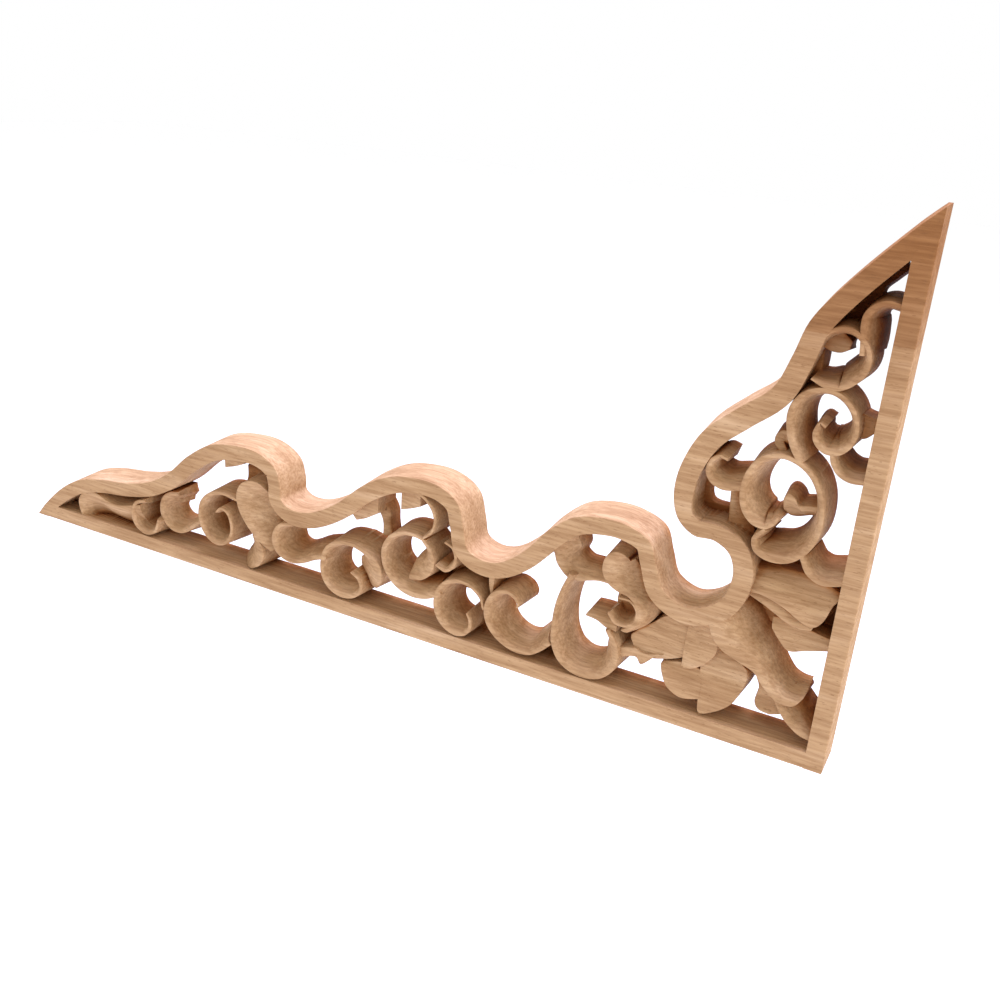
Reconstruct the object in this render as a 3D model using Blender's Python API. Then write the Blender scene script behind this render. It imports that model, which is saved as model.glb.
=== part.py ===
"""Carved wooden corner onlay: a right-angled fretwork bracket with scalloped rails and scrolls.

The drawing is made in millimetres on the front face, measured from the outer corner of the
two straight rails: left along the long leg, up along the short leg, and depth behind the front.
The part stands upright with its front towards -Y and its back on the plane Y = 0.
"""
import math
from collections import namedtuple

import bmesh
import bpy

MM = 0.001
LONG_LEG = 340.0
SHORT_LEG = 172.0
THICKNESS = 15.0
RAIL_WIDTH = 5.8
RIM = 1.1
FACET_ANGLE = math.radians(27)
RAIL_FACET_ANGLE = math.radians(15)
LONGEST_FACET = 7.0
LEAF_STEPS = 2
MOST_TURN = math.radians(130)
SPAN_DIP = 0.4
MARGIN = 1.0
WOOD = (0.52, 0.33, 0.19, 1.0)

# A stroke is a band cut down to the back. Its line is the rim, in rows of left, up and width,
# followed anticlockwise as seen from the front, and the band lies on the left of travel. The rim
# is drop below the front, and the gouged surface falls by dip from the rim to the inner edge.
Stroke = namedtuple("Stroke", "name drop dip line")

# A leaf lies between two edges, in rows of left, up and depth behind the front. Near has the rim.
Leaf = namedtuple("Leaf", "name near far")


def clear_scene():
    for old in list(bpy.data.objects):
        bpy.data.objects.remove(old, do_unlink=True)


def wood():
    material = bpy.data.materials.new("rubberwood")
    material.use_nodes = True
    shader = material.node_tree.nodes["Principled BSDF"]
    shader.inputs["Base Color"].default_value = WOOD
    shader.inputs["Roughness"].default_value = 0.7
    shader.inputs["Metallic"].default_value = 0.0
    return material


def arc(left, up, radius, start, end, first, last):
    """Rows along an arc, at most 45 degrees apart, whose width goes from first to last."""
    count = max(2, math.ceil(abs(end - start) / 45))
    rows = []
    for i in range(count + 1):
        share = i / count
        angle = math.radians(start + (end - start) * share)
        width = first + (last - first) * share
        rows.append((left - radius * math.cos(angle), up + radius * math.sin(angle), width))
    return rows


def scalloped_rail():
    """The rail along both legs, from the tip of the short leg over four lobes to the long tip."""
    short_leg_lobe = [
        (-6.0, 178.0, 5.6), (0.0, SHORT_LEG, 5.6), (6.4, 165.7, 5.8), (20.7, 149.3, 6.0),
        (28.5, 138.0, 6.2), (31.8, 127.0, 6.3), (35.5, 117.4, 6.5), (44.0, 109.8, 6.8), (53.5, 100.5, 6.8),
        (58.7, 89.0, 6.6), (59.8, 79.0, 6.2), (57.4, 71.2, 5.2), (51.6, 66.9, 5.6),
    ]
    notch = [(45.0, 66.9, 5.4), (39.6, 63.6, 6.2), (37.7, 56.5, 6.3), (40.6, 47.6, 6.0),
             (49.5, 42.7, 5.8), (58.4, 46.0, 5.4)]
    inner_lobe = [(62.0, 54.0, 5.2), (65.0, 61.2, 5.2), (72.0, 64.5, 5.5), (80.0, 65.2, 5.8),
                  (91.0, 62.9, 6.2), (99.5, 56.2, 6.4), (108.0, 46.0, 6.2), (116.0, 39.8, 5.8)]
    middle_lobe = [(123.0, 38.4, 5.6), (129.2, 41.0, 5.4), (131.2, 48.0, 5.3),
                   (134.0, 56.4, 5.3), (141.0, 60.8, 5.4), (150.0, 61.8, 5.7),
                   (162.0, 59.7, 6.2), (173.0, 53.6, 6.4), (184.3, 43.8, 6.3), (195.0, 37.7, 6.2)]
    outer_lobe = [(203.5, 36.3, 6.0), (208.8, 38.8, 5.6), (209.6, 44.6, 5.4), (212.0, 50.9, 5.4),
                  (220.0, 55.2, 5.6), (231.0, 55.6, 6.0), (243.0, 53.1, 6.4),
                  (254.5, 45.8, 6.5), (265.0, 36.2, 6.2), (275.5, 30.0, 5.9)]
    long_tip = [(288.0, 26.6, 5.7), (302.0, 24.7, 5.7), (314.0, 21.6, 5.8), (324.5, 15.4, 5.6),
                (334.5, 6.4, 5.0), (LONG_LEG, 0.0, 5.0), (346.0, -7.0, 5.0)]
    return short_leg_lobe + notch + inner_lobe + middle_lobe + outer_lobe + long_tip


def long_leg_scrolls():
    """The scrolls of the long leg, from its tip towards the corner."""
    return [
        Leaf("tip_leaf",
             [(281.0, 18.5, 0.8), (287.0, 16.8, 0.6), (293.0, 15.4, 0.5), (299.0, 15.8, 0.4), (305.0, 17.7, 0.4),
              (311.0, 17.2, 0.4), (314.8, 14.0, 0.4), (315.6, 10.0, 0.5), (314.0, 4.5, 0.8)],
             [(281.0, 6.0, 9.0), (287.0, 4.8, 9.0), (292.0, 4.8, 9.0), (297.0, 4.8, 9.5), (300.5, 5.0, 9.5),
              (303.5, 5.0, 9.5), (306.0, 5.0, 9.0), (308.5, 4.8, 8.0), (310.0, 4.5, 6.0)]),
        Leaf("tip_web",
             [(266.0, 30.0, 12.5), (276.0, 25.0, 12.5), (290.0, 23.5, 12.5), (304.0, 21.0, 12.5),
              (314.0, 17.5, 12.5), (325.0, 9.0, 12.5)],
             [(266.0, 24.0, 12.5), (276.0, 8.0, 12.5), (290.0, 5.0, 12.5), (304.0, 4.5, 12.5),
              (312.0, 4.5, 12.5), (322.0, 4.5, 12.5)]),
        Stroke("tip_ring", 0.3, 7.0, arc(278.0, 14.0, 7.7, 90, 360, 2.4, 3.0)),
        Stroke("second_ring", 3.0, 5.5, [(262.8, 27.9, 2.0)] + arc(263.6, 18.9, 8.9, 112, 180, 6.0, 4.2)
               + arc(263.6, 18.9, 8.9, 210, 282, 4.0, 3.8) + [(257.3, 12.4, 3.4), (251.2, 17.3, 3.4)]),
        Stroke("eye_scroll", 0.2, 8.5, [
            (229.8, 33.8, 2.0), (232.5, 34.2, 2.2), (237.8, 35.0, 2.6), (243.8, 33.4, 3.2), (248.4, 29.0, 3.6),
            (249.8, 22.8, 3.8), (248.2, 17.0, 4.0), (244.4, 13.0, 4.2), (239.6, 11.9, 4.0),
            (235.2, 14.0, 3.6), (232.7, 18.4, 3.0), (232.9, 23.6, 2.6), (235.2, 27.5, 2.3),
            (238.7, 28.3, 1.9), (241.0, 26.0, 1.2)]),
        Leaf("tall_leaf",
             [(215.5, 40.5, 0.4), (219.0, 42.6, 0.3), (223.0, 43.1, 0.3), (228.2, 41.0, 0.3), (230.7, 36.2, 0.3),
              (230.0, 31.0, 0.3), (227.4, 26.3, 0.3), (223.6, 22.1, 0.3), (219.0, 18.4, 0.5), (214.5, 16.0, 1.0)],
             [(213.0, 39.5, 4.0), (213.0, 38.5, 5.0), (212.5, 37.5, 6.5), (212.0, 36.0, 8.0), (211.5, 34.0, 9.0),
              (211.0, 31.5, 9.5), (210.5, 28.5, 9.5), (210.0, 25.5, 9.0), (210.0, 22.0, 7.5), (211.0, 18.0, 4.5)]),
        Leaf("outer_lobe_web",
             [(235.0, 43.5, 12.5), (235.4, 37.0, 12.5), (241.0, 30.0, 12.5), (244.0, 22.0, 12.5),
              (236.0, 16.5, 12.5)],
             [(213.0, 48.0, 12.5), (213.0, 40.0, 12.5), (213.0, 32.0, 12.5), (213.0, 26.0, 12.5),
              (213.0, 20.0, 12.5)]),
        Leaf("outer_lobe_tab",
             [(238.1, 44.3, 3.0), (233.2, 45.9, 3.0), (228.6, 48.0, 2.6)],
             [(238.4, 50.5, 3.0), (233.3, 52.0, 3.0), (228.6, 52.5, 2.6)]),
        Leaf("tall_leaf_curl",
             [(223.2, 6.4, 1.0), (219.8, 8.6, 0.6), (217.5, 13.0, 0.4), (218.4, 17.4, 0.4), (221.6, 21.0, 0.6)],
             [(229.5, 6.0, 5.0), (231.5, 8.0, 8.0), (230.5, 10.5, 8.5), (228.5, 14.0, 8.5), (226.5, 19.0, 6.0)]),
        Stroke("wave_scroll", 0.2, 8.5, [
            (204.0, 31.0, 3.0), (209.5, 29.4, 3.6), (212.8, 25.6, 4.6), (213.4, 21.0, 5.2),
            (211.4, 17.0, 5.0), (207.5, 14.8, 4.4), (203.0, 14.4, 4.2), (198.0, 16.0, 4.6),
            (193.5, 18.4, 4.8), (188.0, 20.4, 4.6)]),
        Stroke("twin_scroll", 0.2, 8.5, [
            (175.5, 30.0, 3.2), (183.0, 29.3, 3.6), (188.5, 25.6, 3.8), (190.7, 19.8, 3.6),
            (190.4, 14.0, 3.8), (187.3, 9.2, 4.4), (182.0, 6.8, 5.2), (176.5, 7.5, 5.2),
            (172.6, 10.4, 4.2), (171.7, 13.8, 3.2), (173.5, 16.9, 2.4), (176.8, 18.5, 1.4)]),
        Leaf("twin_scroll_leaf",
             [(171.0, 10.6, 8.0), (166.4, 14.2, 2.6), (163.6, 19.0, 0.3), (164.6, 24.2, 0.2), (169.5, 28.2, 0.2),
              (176.0, 30.0, 0.2)],
             [(174.0, 12.2, 9.0), (175.0, 15.0, 8.5), (177.0, 18.4, 8.0), (176.8, 22.2, 7.0), (174.6, 24.8, 5.0),
              (176.6, 27.2, 3.0)]),
        Leaf("lobe_tie",
             [(177.0, 48.0, 8.0), (173.0, 44.5, 8.0), (170.3, 41.5, 8.0), (168.8, 38.0, 8.0), (168.6, 33.0, 8.0)],
             [(172.0, 51.0, 9.0), (168.5, 46.3, 9.0), (166.3, 42.5, 9.0), (166.0, 38.0, 9.0), (165.0, 33.0, 9.0)]),
        Leaf("middle_lobe_tab",
             [(177.0, 38.3, 3.0), (173.0, 40.0, 3.0), (167.9, 43.3, 3.0)],
             [(182.0, 44.0, 3.0), (175.0, 50.0, 3.0), (168.0, 54.5, 3.0)]),
        Leaf("arch_tab",
             [(158.3, 47.2, 3.0), (153.8, 48.9, 2.4), (149.7, 50.9, 1.6)],
             [(158.5, 57.0, 3.0), (153.8, 58.0, 2.0), (149.7, 57.6, 1.0)]),
        Stroke("lobe_scroll", 0.2, 8.5, [
            (146.0, 39.4, 1.6), (150.5, 40.6, 2.4), (156.3, 40.2, 2.8), (161.3, 37.2, 3.0),
            (164.0, 32.0, 3.0), (163.6, 26.0, 3.2), (160.6, 20.8, 4.2), (155.5, 17.2, 5.8),
            (149.5, 16.0, 6.6), (143.5, 17.3, 6.6), (138.5, 20.5, 5.0)]),
        Leaf("lobe_scroll_leaf",
             [(151.5, 22.8, 0.4), (146.8, 23.8, 0.2), (143.2, 27.2, 0.2), (141.9, 31.8, 0.2), (143.5, 36.2, 0.2),
              (147.0, 39.8, 0.2)],
             [(152.8, 24.8, 3.0), (152.6, 28.0, 5.5), (151.4, 30.8, 7.0), (149.4, 33.2, 7.0), (148.0, 35.6, 5.0),
              (148.6, 38.4, 3.0)]),
        Leaf("middle_lobe_web",
             [(147.0, 24.0, 12.5), (137.0, 20.0, 12.5), (128.0, 20.0, 12.5), (119.0, 22.0, 12.5)],
             [(147.0, 36.0, 12.5), (137.0, 41.0, 12.5), (128.0, 40.0, 12.5), (119.0, 37.0, 12.5)]),
        Stroke("lobe_arch", 0.2, 8.5, [
            (147.0, 39.6, 1.4), (143.5, 43.0, 2.0), (142.3, 47.5, 2.2), (143.6, 52.0, 2.6),
            (147.0, 55.4, 2.6), (151.5, 57.3, 2.6), (156.8, 58.0, 2.6)]),
        Stroke("lobe_curl", 0.2, 8.5, [
            (141.5, 31.0, 1.6), (137.5, 29.6, 2.4), (134.2, 32.0, 3.0), (132.9, 36.0, 3.2),
            (134.6, 39.8, 2.4), (138.2, 41.2, 1.6)]),
        Stroke("round_scroll", 0.2, 8.5, [
            (121.0, 20.0, 1.8), (122.6, 24.4, 2.2), (127.0, 27.6, 2.4), (132.0, 28.3, 3.0),
            (137.5, 26.2, 4.0), (141.0, 21.0, 4.6), (141.2, 14.6, 4.8), (138.2, 9.2, 5.2),
            (133.0, 6.4, 5.4), (128.3, 7.2, 4.6), (125.6, 10.5, 3.4), (125.8, 14.0, 2.4),
            (127.6, 16.6, 1.2)]),
        Stroke("blade", 2.0, 0.5, [(121.2, 35.0, 2.6), (120.8, 29.5, 1.8), (119.6, 24.6, 0.7)]),
        Stroke("cup_scroll", 0.2, 8.5, [
            (108.3, 24.4, 1.4), (108.0, 26.2, 2.0), (109.6, 28.6, 2.8), (113.4, 29.8, 3.4), (118.2, 27.6, 4.2),
            (120.9, 23.0, 4.6), (121.0, 18.0, 4.6), (118.6, 13.0, 4.4), (114.0, 9.3, 3.8),
            (108.0, 7.4, 3.6), (102.5, 8.0, 3.8), (98.5, 10.6, 4.6), (94.6, 14.6, 5.0)]),
        Leaf("low_web",
             [(134.0, 3.0, 12.5), (120.0, 3.0, 12.5), (106.0, 3.0, 12.5), (93.0, 3.0, 12.5)],
             [(134.0, 9.5, 12.5), (120.0, 9.5, 12.5), (106.0, 8.6, 12.5), (93.0, 9.0, 12.5)]),
        Stroke("tall_scroll", 0.2, 8.5, [
            (91.0, 42.4, 2.2), (93.2, 36.5, 2.3), (94.8, 30.0, 2.6), (95.3, 23.0, 3.0),
            (94.8, 15.5, 4.2), (91.3, 9.3, 4.8), (84.5, 6.2, 4.9), (77.0, 7.2, 5.2),
            (72.2, 11.2, 6.2), (70.4, 16.5, 7.0), (71.3, 22.0, 6.4), (74.8, 26.8, 3.6)]),
        Leaf("tall_scroll_branch",
             [(100.4, 50.5, 3.0), (98.2, 47.1, 3.0), (96.7, 43.5, 3.0), (92.7, 39.8, 3.0), (88.5, 39.0, 4.0),
              (85.5, 40.0, 4.0), (81.4, 41.0, 4.0), (76.5, 40.6, 4.5)],
             [(92.0, 56.0, 5.0), (90.0, 51.0, 6.5), (91.0, 47.6, 7.5), (89.6, 45.8, 8.0), (87.6, 44.9, 8.0),
              (85.0, 44.8, 8.0), (81.0, 44.8, 7.0), (76.0, 44.8, 6.0)]),
        Leaf("hook_scroll",
             [(71.0, 52.4, 0.4), (72.6, 54.2, 0.2), (75.8, 54.6, 0.2), (78.8, 52.4, 0.2), (79.8, 48.0, 0.2),
              (78.2, 44.0, 0.2), (74.4, 41.4, 0.2), (69.6, 40.2, 0.2), (66.3, 36.4, 0.2), (66.8, 31.6, 0.2),
              (70.8, 28.0, 0.2)],
             [(69.6, 53.4, 2.0), (69.8, 52.8, 3.0), (69.4, 51.6, 4.0), (68.4, 49.8, 5.0), (67.0, 47.0, 6.0),
              (65.0, 44.0, 6.0), (62.6, 41.0, 6.0), (60.4, 38.4, 5.5), (60.6, 34.6, 5.0), (63.6, 30.4, 3.5),
              (68.8, 27.2, 1.2)]),
        Stroke("hook_eye", 0.2, 7.0, arc(71.0, 34.4, 5.4, -160, 110, 1.7, 1.5)),
        Leaf("hook_floor",
             [(75.6, 38.4, 9.0), (76.2, 34.0, 9.0), (74.6, 29.4, 9.0)],
             [(65.0, 39.0, 9.0), (64.5, 34.0, 9.0), (66.0, 29.0, 9.0)]),
        Leaf("hook_tail",
             [(84.4, 28.3, 2.4), (80.0, 27.9, 2.0), (76.4, 26.6, 1.4), (72.5, 26.4, 1.0)],
             [(84.0, 29.3, 3.2), (80.0, 29.6, 3.2), (76.0, 29.6, 2.8), (72.5, 30.4, 2.0)]),
        Leaf("tendril",
             [(56.0, 22.6, 2.4), (62.4, 21.2, 2.0), (66.0, 22.2, 2.0), (73.0, 20.0, 2.2)],
             [(58.5, 21.2, 2.8), (63.0, 16.6, 2.8), (65.6, 18.8, 2.6), (73.0, 16.0, 2.6)]),
    ]


def corner_flower():
    """The overlapping leaves that fill the corner."""
    return [
        Leaf("left_leaf",
             [(67.5, 24.3, 3.0), (65.3, 20.8, 3.0), (60.9, 19.6, 3.0), (55.8, 20.8, 3.0), (49.5, 23.5, 3.0),
              (41.0, 28.5, 3.0)],
             [(67.9, 26.0, 3.5), (65.2, 28.9, 4.0), (61.0, 32.3, 4.4), (57.2, 35.6, 4.4), (49.0, 38.5, 4.0),
              (40.0, 41.5, 4.0)]),
        Leaf("middle_leaf",
             [(48.6, 20.4, 1.6), (45.2, 21.6, 1.5), (41.6, 24.6, 1.5), (39.0, 28.8, 1.5), (39.0, 34.0, 1.6),
              (41.5, 40.0, 2.0)],
             [(49.4, 21.2, 2.0), (49.5, 25.0, 2.2), (49.5, 29.0, 2.4), (49.5, 33.0, 2.8), (49.4, 36.0, 3.0),
              (49.0, 41.0, 3.0)]),
        Leaf("lower_leaf",
             [(56.2, 19.8, 1.6), (55.4, 16.5, 1.3), (53.0, 12.2, 1.2), (48.0, 9.9, 1.2), (42.0, 11.4, 1.2)],
             [(55.6, 20.2, 2.6), (53.0, 20.8, 3.2), (50.3, 21.5, 3.2), (46.0, 21.8, 3.0), (42.0, 21.0, 2.4)]),
        Leaf("lower_leaf_lobe",
             [(42.3, 12.5, 1.5), (41.3, 6.8, 1.0), (36.3, 8.8, 1.0), (31.6, 13.0, 1.2), (29.3, 18.0, 1.8),
              (28.1, 22.6, 2.6), (28.7, 25.8, 3.2)],
             [(42.4, 15.5, 1.8), (42.6, 18.5, 2.0), (43.4, 23.4, 2.6), (42.6, 27.2, 3.2), (40.0, 29.8, 3.8),
              (36.0, 29.6, 4.0), (32.5, 28.2, 4.2)]),
        Leaf("right_leaf",
             [(33.0, 52.5, 2.0), (28.0, 53.0, 1.2), (21.0, 51.0, 0.8), (15.5, 48.0, 0.8), (11.4, 47.2, 1.0),
              (8.8, 50.0, 1.6), (7.4, 55.0, 2.0)],
             [(33.0, 60.0, 7.0), (28.0, 61.0, 7.0), (21.0, 61.5, 6.5), (15.5, 61.5, 6.0), (12.0, 61.0, 5.5),
              (9.0, 60.0, 5.0), (5.0, 58.5, 4.6)]),
        Leaf("right_leaf_fold",
             [(33.0, 51.5, 3.0), (27.0, 49.4, 2.4), (21.0, 46.8, 1.6), (16.5, 45.2, 1.6), (12.0, 45.6, 1.8)],
             [(33.0, 54.0, 4.5), (27.0, 55.0, 4.5), (21.0, 53.0, 4.5), (16.0, 50.0, 4.5), (10.5, 49.2, 4.5)]),
        Leaf("small_leaf",
             [(23.5, 42.5, 2.6), (20.7, 39.2, 2.5), (17.3, 36.6, 2.5), (12.0, 38.2, 2.8), (4.5, 40.4, 3.0)],
             [(24.0, 46.0, 4.0), (20.0, 46.5, 4.0), (15.5, 46.0, 4.0), (10.5, 44.4, 4.0), (4.5, 43.5, 4.0)]),
        Leaf("foot_root",
             [(26.0, 23.6, 5.0), (24.6, 20.0, 5.0), (25.2, 15.1, 5.0), (23.6, 12.4, 5.0), (20.0, 11.8, 5.0)],
             [(18.0, 23.0, 7.0), (15.5, 21.0, 7.0), (13.0, 19.0, 7.0), (12.4, 16.6, 7.0), (11.6, 14.6, 7.0)]),
        Leaf("foot_leaf",
             [(19.8, 22.0, 2.4), (18.0, 17.8, 1.8), (14.6, 13.6, 1.4), (10.8, 10.8, 1.2), (8.0, 9.6, 1.2),
              (4.5, 9.0, 1.4)],
             [(14.0, 24.0, 8.0), (12.5, 21.5, 9.0), (10.3, 19.5, 10.0), (8.5, 17.6, 10.0), (6.5, 15.4, 10.0),
              (4.5, 13.6, 10.0)]),
        Leaf("tongue",
             [(43.5, 42.5, 0.0), (41.2, 36.0, 0.0), (37.5, 31.8, 0.0), (31.5, 29.3, 0.0), (26.3, 27.4, 0.0),
              (22.5, 23.3, 0.0), (18.5, 20.2, 0.0), (15.0, 19.3, 0.2), (12.2, 19.8, 0.6), (10.3, 22.4, 1.6)],
             [(34.0, 48.0, 7.0), (31.0, 46.0, 9.0), (27.0, 41.0, 11.0), (22.8, 35.5, 11.5), (20.3, 30.5, 11.5),
              (18.2, 27.4, 11.0), (16.2, 25.2, 10.5), (13.8, 24.0, 9.5), (11.6, 23.6, 8.5), (9.8, 23.6, 6.0)]),
        Leaf("flower_web",
             [(34.0, 40.0, 12.5), (24.0, 40.0, 12.5), (16.0, 40.5, 12.5), (4.5, 42.0, 12.5)],
             [(34.0, 62.5, 12.5), (24.0, 62.5, 12.5), (16.0, 62.5, 12.5), (4.5, 61.0, 12.5)]),
    ]


def short_leg_scrolls():
    """The scrolls of the short leg, from the corner flower up to the tip."""
    return [
        Stroke("side_curl", 0.2, 8.5, [
            (19.2, 68.4, 3.0), (16.4, 63.7, 3.8), (11.5, 61.5, 4.2), (4.5, 63.2, 4.0)]),
        Stroke("great_scroll", 0.2, 8.5, [
            (31.0, 74.8, 2.0), (34.0, 71.0, 3.0), (33.0, 67.0, 4.0), (28.5, 64.8, 5.5),
            (22.5, 65.5, 5.8), (17.8, 69.3, 5.2), (15.0, 75.0, 4.6), (14.4, 81.5, 4.0),
            (15.6, 88.0, 3.6), (19.0, 93.8, 3.4), (24.0, 97.4, 3.2), (30.0, 98.6, 3.4),
            (35.5, 96.3, 4.0), (38.8, 91.5, 4.4), (40.0, 85.5, 4.6), (38.9, 79.5, 5.2),
            (35.5, 75.4, 5.4), (31.2, 74.4, 5.0), (28.2, 76.2, 3.2), (27.0, 78.8, 1.6)]),
        Leaf("great_scroll_leaf",
             [(15.5, 83.5, 5.5), (20.0, 83.2, 5.0), (22.6, 82.9, 4.5), (24.2, 85.0, 4.0), (26.2, 86.0, 4.0),
              (27.6, 84.0, 4.6), (27.6, 81.0, 6.0)],
             [(15.5, 79.3, 9.0), (19.0, 79.1, 9.5), (21.0, 78.5, 9.5), (22.6, 77.9, 9.5), (24.4, 77.7, 9.0),
              (25.8, 78.0, 8.5), (26.6, 78.8, 8.0)]),
        Stroke("lobe_cup", 0.4, 8.5, [
            (44.9, 93.6, 2.0), (47.6, 94.2, 2.2), (50.4, 92.2, 3.0), (51.2, 88.2, 4.0), (49.2, 84.9, 4.6),
            (45.0, 83.4, 4.8), (39.0, 84.6, 4.8)]),
        Leaf("short_leg_web",
             [(43.9, 86.0, 6.0), (43.9, 80.0, 6.5), (43.0, 68.0, 7.0)],
             [(38.5, 84.0, 9.0), (38.0, 79.0, 9.5), (35.0, 68.0, 9.5)]),
        Leaf("short_leg_fillet",
             [(42.0, 74.6, 12.5), (49.0, 74.6, 12.5), (51.6, 77.0, 12.5), (52.0, 84.0, 12.5), (53.0, 92.0, 12.5)],
             [(42.0, 69.0, 12.5), (50.0, 69.0, 12.5), (57.0, 72.0, 12.5), (57.5, 84.0, 12.5), (57.5, 92.0, 12.5)]),
        Stroke("long_scroll", 0.2, 8.5, [
            (18.8, 109.2, 1.4), (20.8, 109.9, 1.8), (22.3, 107.0, 2.8), (21.4, 103.6, 3.8), (18.0, 101.1, 5.0),
            (13.8, 101.6, 5.2), (10.8, 104.8, 4.6), (9.8, 109.4, 3.4), (11.2, 114.2, 3.0),
            (14.8, 118.2, 3.0), (19.5, 120.0, 3.0), (24.5, 119.2, 3.4), (28.6, 116.0, 4.4),
            (30.3, 111.0, 5.0), (29.6, 105.5, 5.0), (27.6, 100.6, 4.6), (24.6, 96.4, 4.0)]),
        Stroke("long_scroll_bud", 4.0, 0.6, [
            (28.0, 104.4, 4.0), (31.0, 104.6, 4.0), (33.0, 102.8, 3.6), (33.0, 100.0, 3.0), (30.5, 97.5, 2.0)]),
        Leaf("long_scroll_heel",
             [(12.0, 106.0, 6.0), (8.4, 106.4, 6.0), (4.5, 110.6, 6.0)],
             [(12.0, 114.0, 6.5), (8.0, 112.6, 6.5), (4.5, 112.8, 6.5)]),
        Stroke("wall_curl", 0.3, 8.5, [
            (16.6, 101.5, 2.2), (15.6, 98.4, 3.0), (13.2, 95.6, 3.4), (9.5, 94.2, 3.4),
            (4.5, 94.6, 3.4)]),
        Stroke("upper_scroll", 0.2, 8.5, [
            (25.6, 121.6, 0.8), (22.5, 120.1, 2.4), (19.5, 119.6, 3.8), (17.0, 119.8, 4.6), (13.4, 122.2, 5.2),
            (10.9, 125.6, 5.0), (10.3, 129.8, 3.8), (11.8, 133.8, 3.0), (15.2, 136.9, 3.0),
            (19.5, 137.7, 3.0), (23.4, 136.0, 2.6), (25.2, 133.0, 1.6)]),
        Leaf("upper_wall",
             [(25.0, 118.5, 9.0), (24.5, 124.0, 8.5), (24.5, 130.0, 8.5), (24.0, 137.0, 8.5)],
             [(33.0, 118.5, 9.0), (31.0, 124.0, 9.0), (30.0, 130.0, 9.0), (29.0, 137.0, 9.0)]),
        Leaf("upper_scroll_leaf",
             [(24.8, 130.0, 6.0), (22.5, 129.2, 6.0), (19.8, 129.2, 6.0), (17.6, 130.4, 6.0)],
             [(24.8, 136.5, 6.5), (22.0, 136.0, 6.5), (19.6, 134.6, 6.5), (17.2, 132.8, 6.5)]),
        Stroke("upper_hook", 0.3, 8.5, [
            (4.5, 145.6, 3.0), (9.0, 146.4, 3.2), (12.6, 145.0, 3.6), (14.9, 142.0, 4.6),
            (15.2, 138.5, 5.2), (14.4, 134.0, 4.8), (14.0, 130.5, 4.2)]),
        Leaf("upper_web",
             [(12.2, 139.0, 12.5), (12.6, 144.0, 12.5), (12.4, 147.6, 12.5), (9.8, 150.6, 12.5), (7.0, 153.6, 12.5)],
             [(27.0, 137.0, 12.5), (24.0, 144.0, 12.5), (20.0, 150.0, 12.5), (16.0, 155.0, 12.5),
              (10.0, 162.0, 12.5)]),
    ]


def smooth_line(line):
    """A dense curve through the rows of a line, with chord-length tangents."""
    chords = [math.dist(a[:2], b[:2]) for a, b in zip(line, line[1:])]
    slopes = []
    for i in range(len(line)):
        before, after = max(i - 1, 0), min(i + 1, len(line) - 1)
        run = sum(chords[before:after])
        slopes.append([(b - a) / run for a, b in zip(line[before], line[after])])
    dense = []
    for i, chord in enumerate(chords):
        steps = max(2, math.ceil(chord / 0.5))
        for k in range(steps):
            t = k / steps
            lift = t * t * (3 - 2 * t)
            leave, arrive = t * (1 - t) ** 2 * chord, t * t * (t - 1) * chord
            dense.append([
                a + (b - a) * lift + leave * slope_a + arrive * slope_b
                for a, b, slope_a, slope_b in zip(line[i], line[i + 1], slopes[i], slopes[i + 1])
            ])
    dense.append(list(line[-1]))
    return dense


def thinned(dense, facet_angle):
    """The dense rows to keep, where the line has turned or run far enough, with their headings."""
    last = len(dense) - 1
    headings = []
    for i in range(len(dense)):
        a, b = dense[max(i - 1, 0)], dense[min(i + 1, last)]
        headings.append(math.atan2(b[1] - a[1], a[0] - b[0]))
    kept, turned, run = [], 0.0, 0.0
    for i, row in enumerate(dense):
        if i:
            turned += abs(math.remainder(headings[i] - headings[i - 1], math.tau))
            run += math.dist(row[:2], dense[i - 1][:2])
        if i in (0, last) or turned >= facet_angle or run >= LONGEST_FACET:
            kept.append((*row, headings[i]))
            turned = run = 0.0
    return kept


def inner_edge(kept):
    """The inner edge of a band, whose width shrinks wherever the edge would fold back on itself."""
    widths = [row[2] for row in kept]
    while True:
        edge = [(left + width * math.sin(heading), up + width * math.cos(heading))
                for (left, up, _, heading), width in zip(kept, widths)]
        folded = [i for i in range(len(kept) - 1)
                  if (kept[i + 1][0] - kept[i][0]) * (edge[i + 1][0] - edge[i][0])
                  + (kept[i + 1][1] - kept[i][1]) * (edge[i + 1][1] - edge[i][1]) <= 0.01]
        if not folded:
            return edge
        for i in folded:
            widths[i] *= 0.95
            widths[i + 1] *= 0.95


def stroke_stations(stroke):
    """Pairs of near and far points, each left, up and depth, along a stroke."""
    kept = thinned(smooth_line(stroke.line), FACET_ANGLE)
    pairs = []
    for row, far in zip(kept, inner_edge(kept)):
        fall = stroke.dip * min(1.0, math.dist(row[:2], far) / 4)
        pairs.append(((row[0], row[1], stroke.drop), (*far, stroke.drop + fall)))
    return pairs


def leaf_stations(leaf):
    """Pairs of near and far points along a leaf, with the same steps on both edges."""
    def edge(rows):
        dense = []
        for i in range(len(rows) - 1):
            around = [rows[max(i - 1, 0)], rows[i], rows[i + 1], rows[min(i + 2, len(rows) - 1)]]
            for k in range(LEAF_STEPS):
                t = k / LEAF_STEPS
                dense.append(tuple(catmull_rom(values, t) for values in zip(*around)))
        return dense + [rows[-1]]
    return list(zip(edge(leaf.near), edge(leaf.far)))


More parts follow.
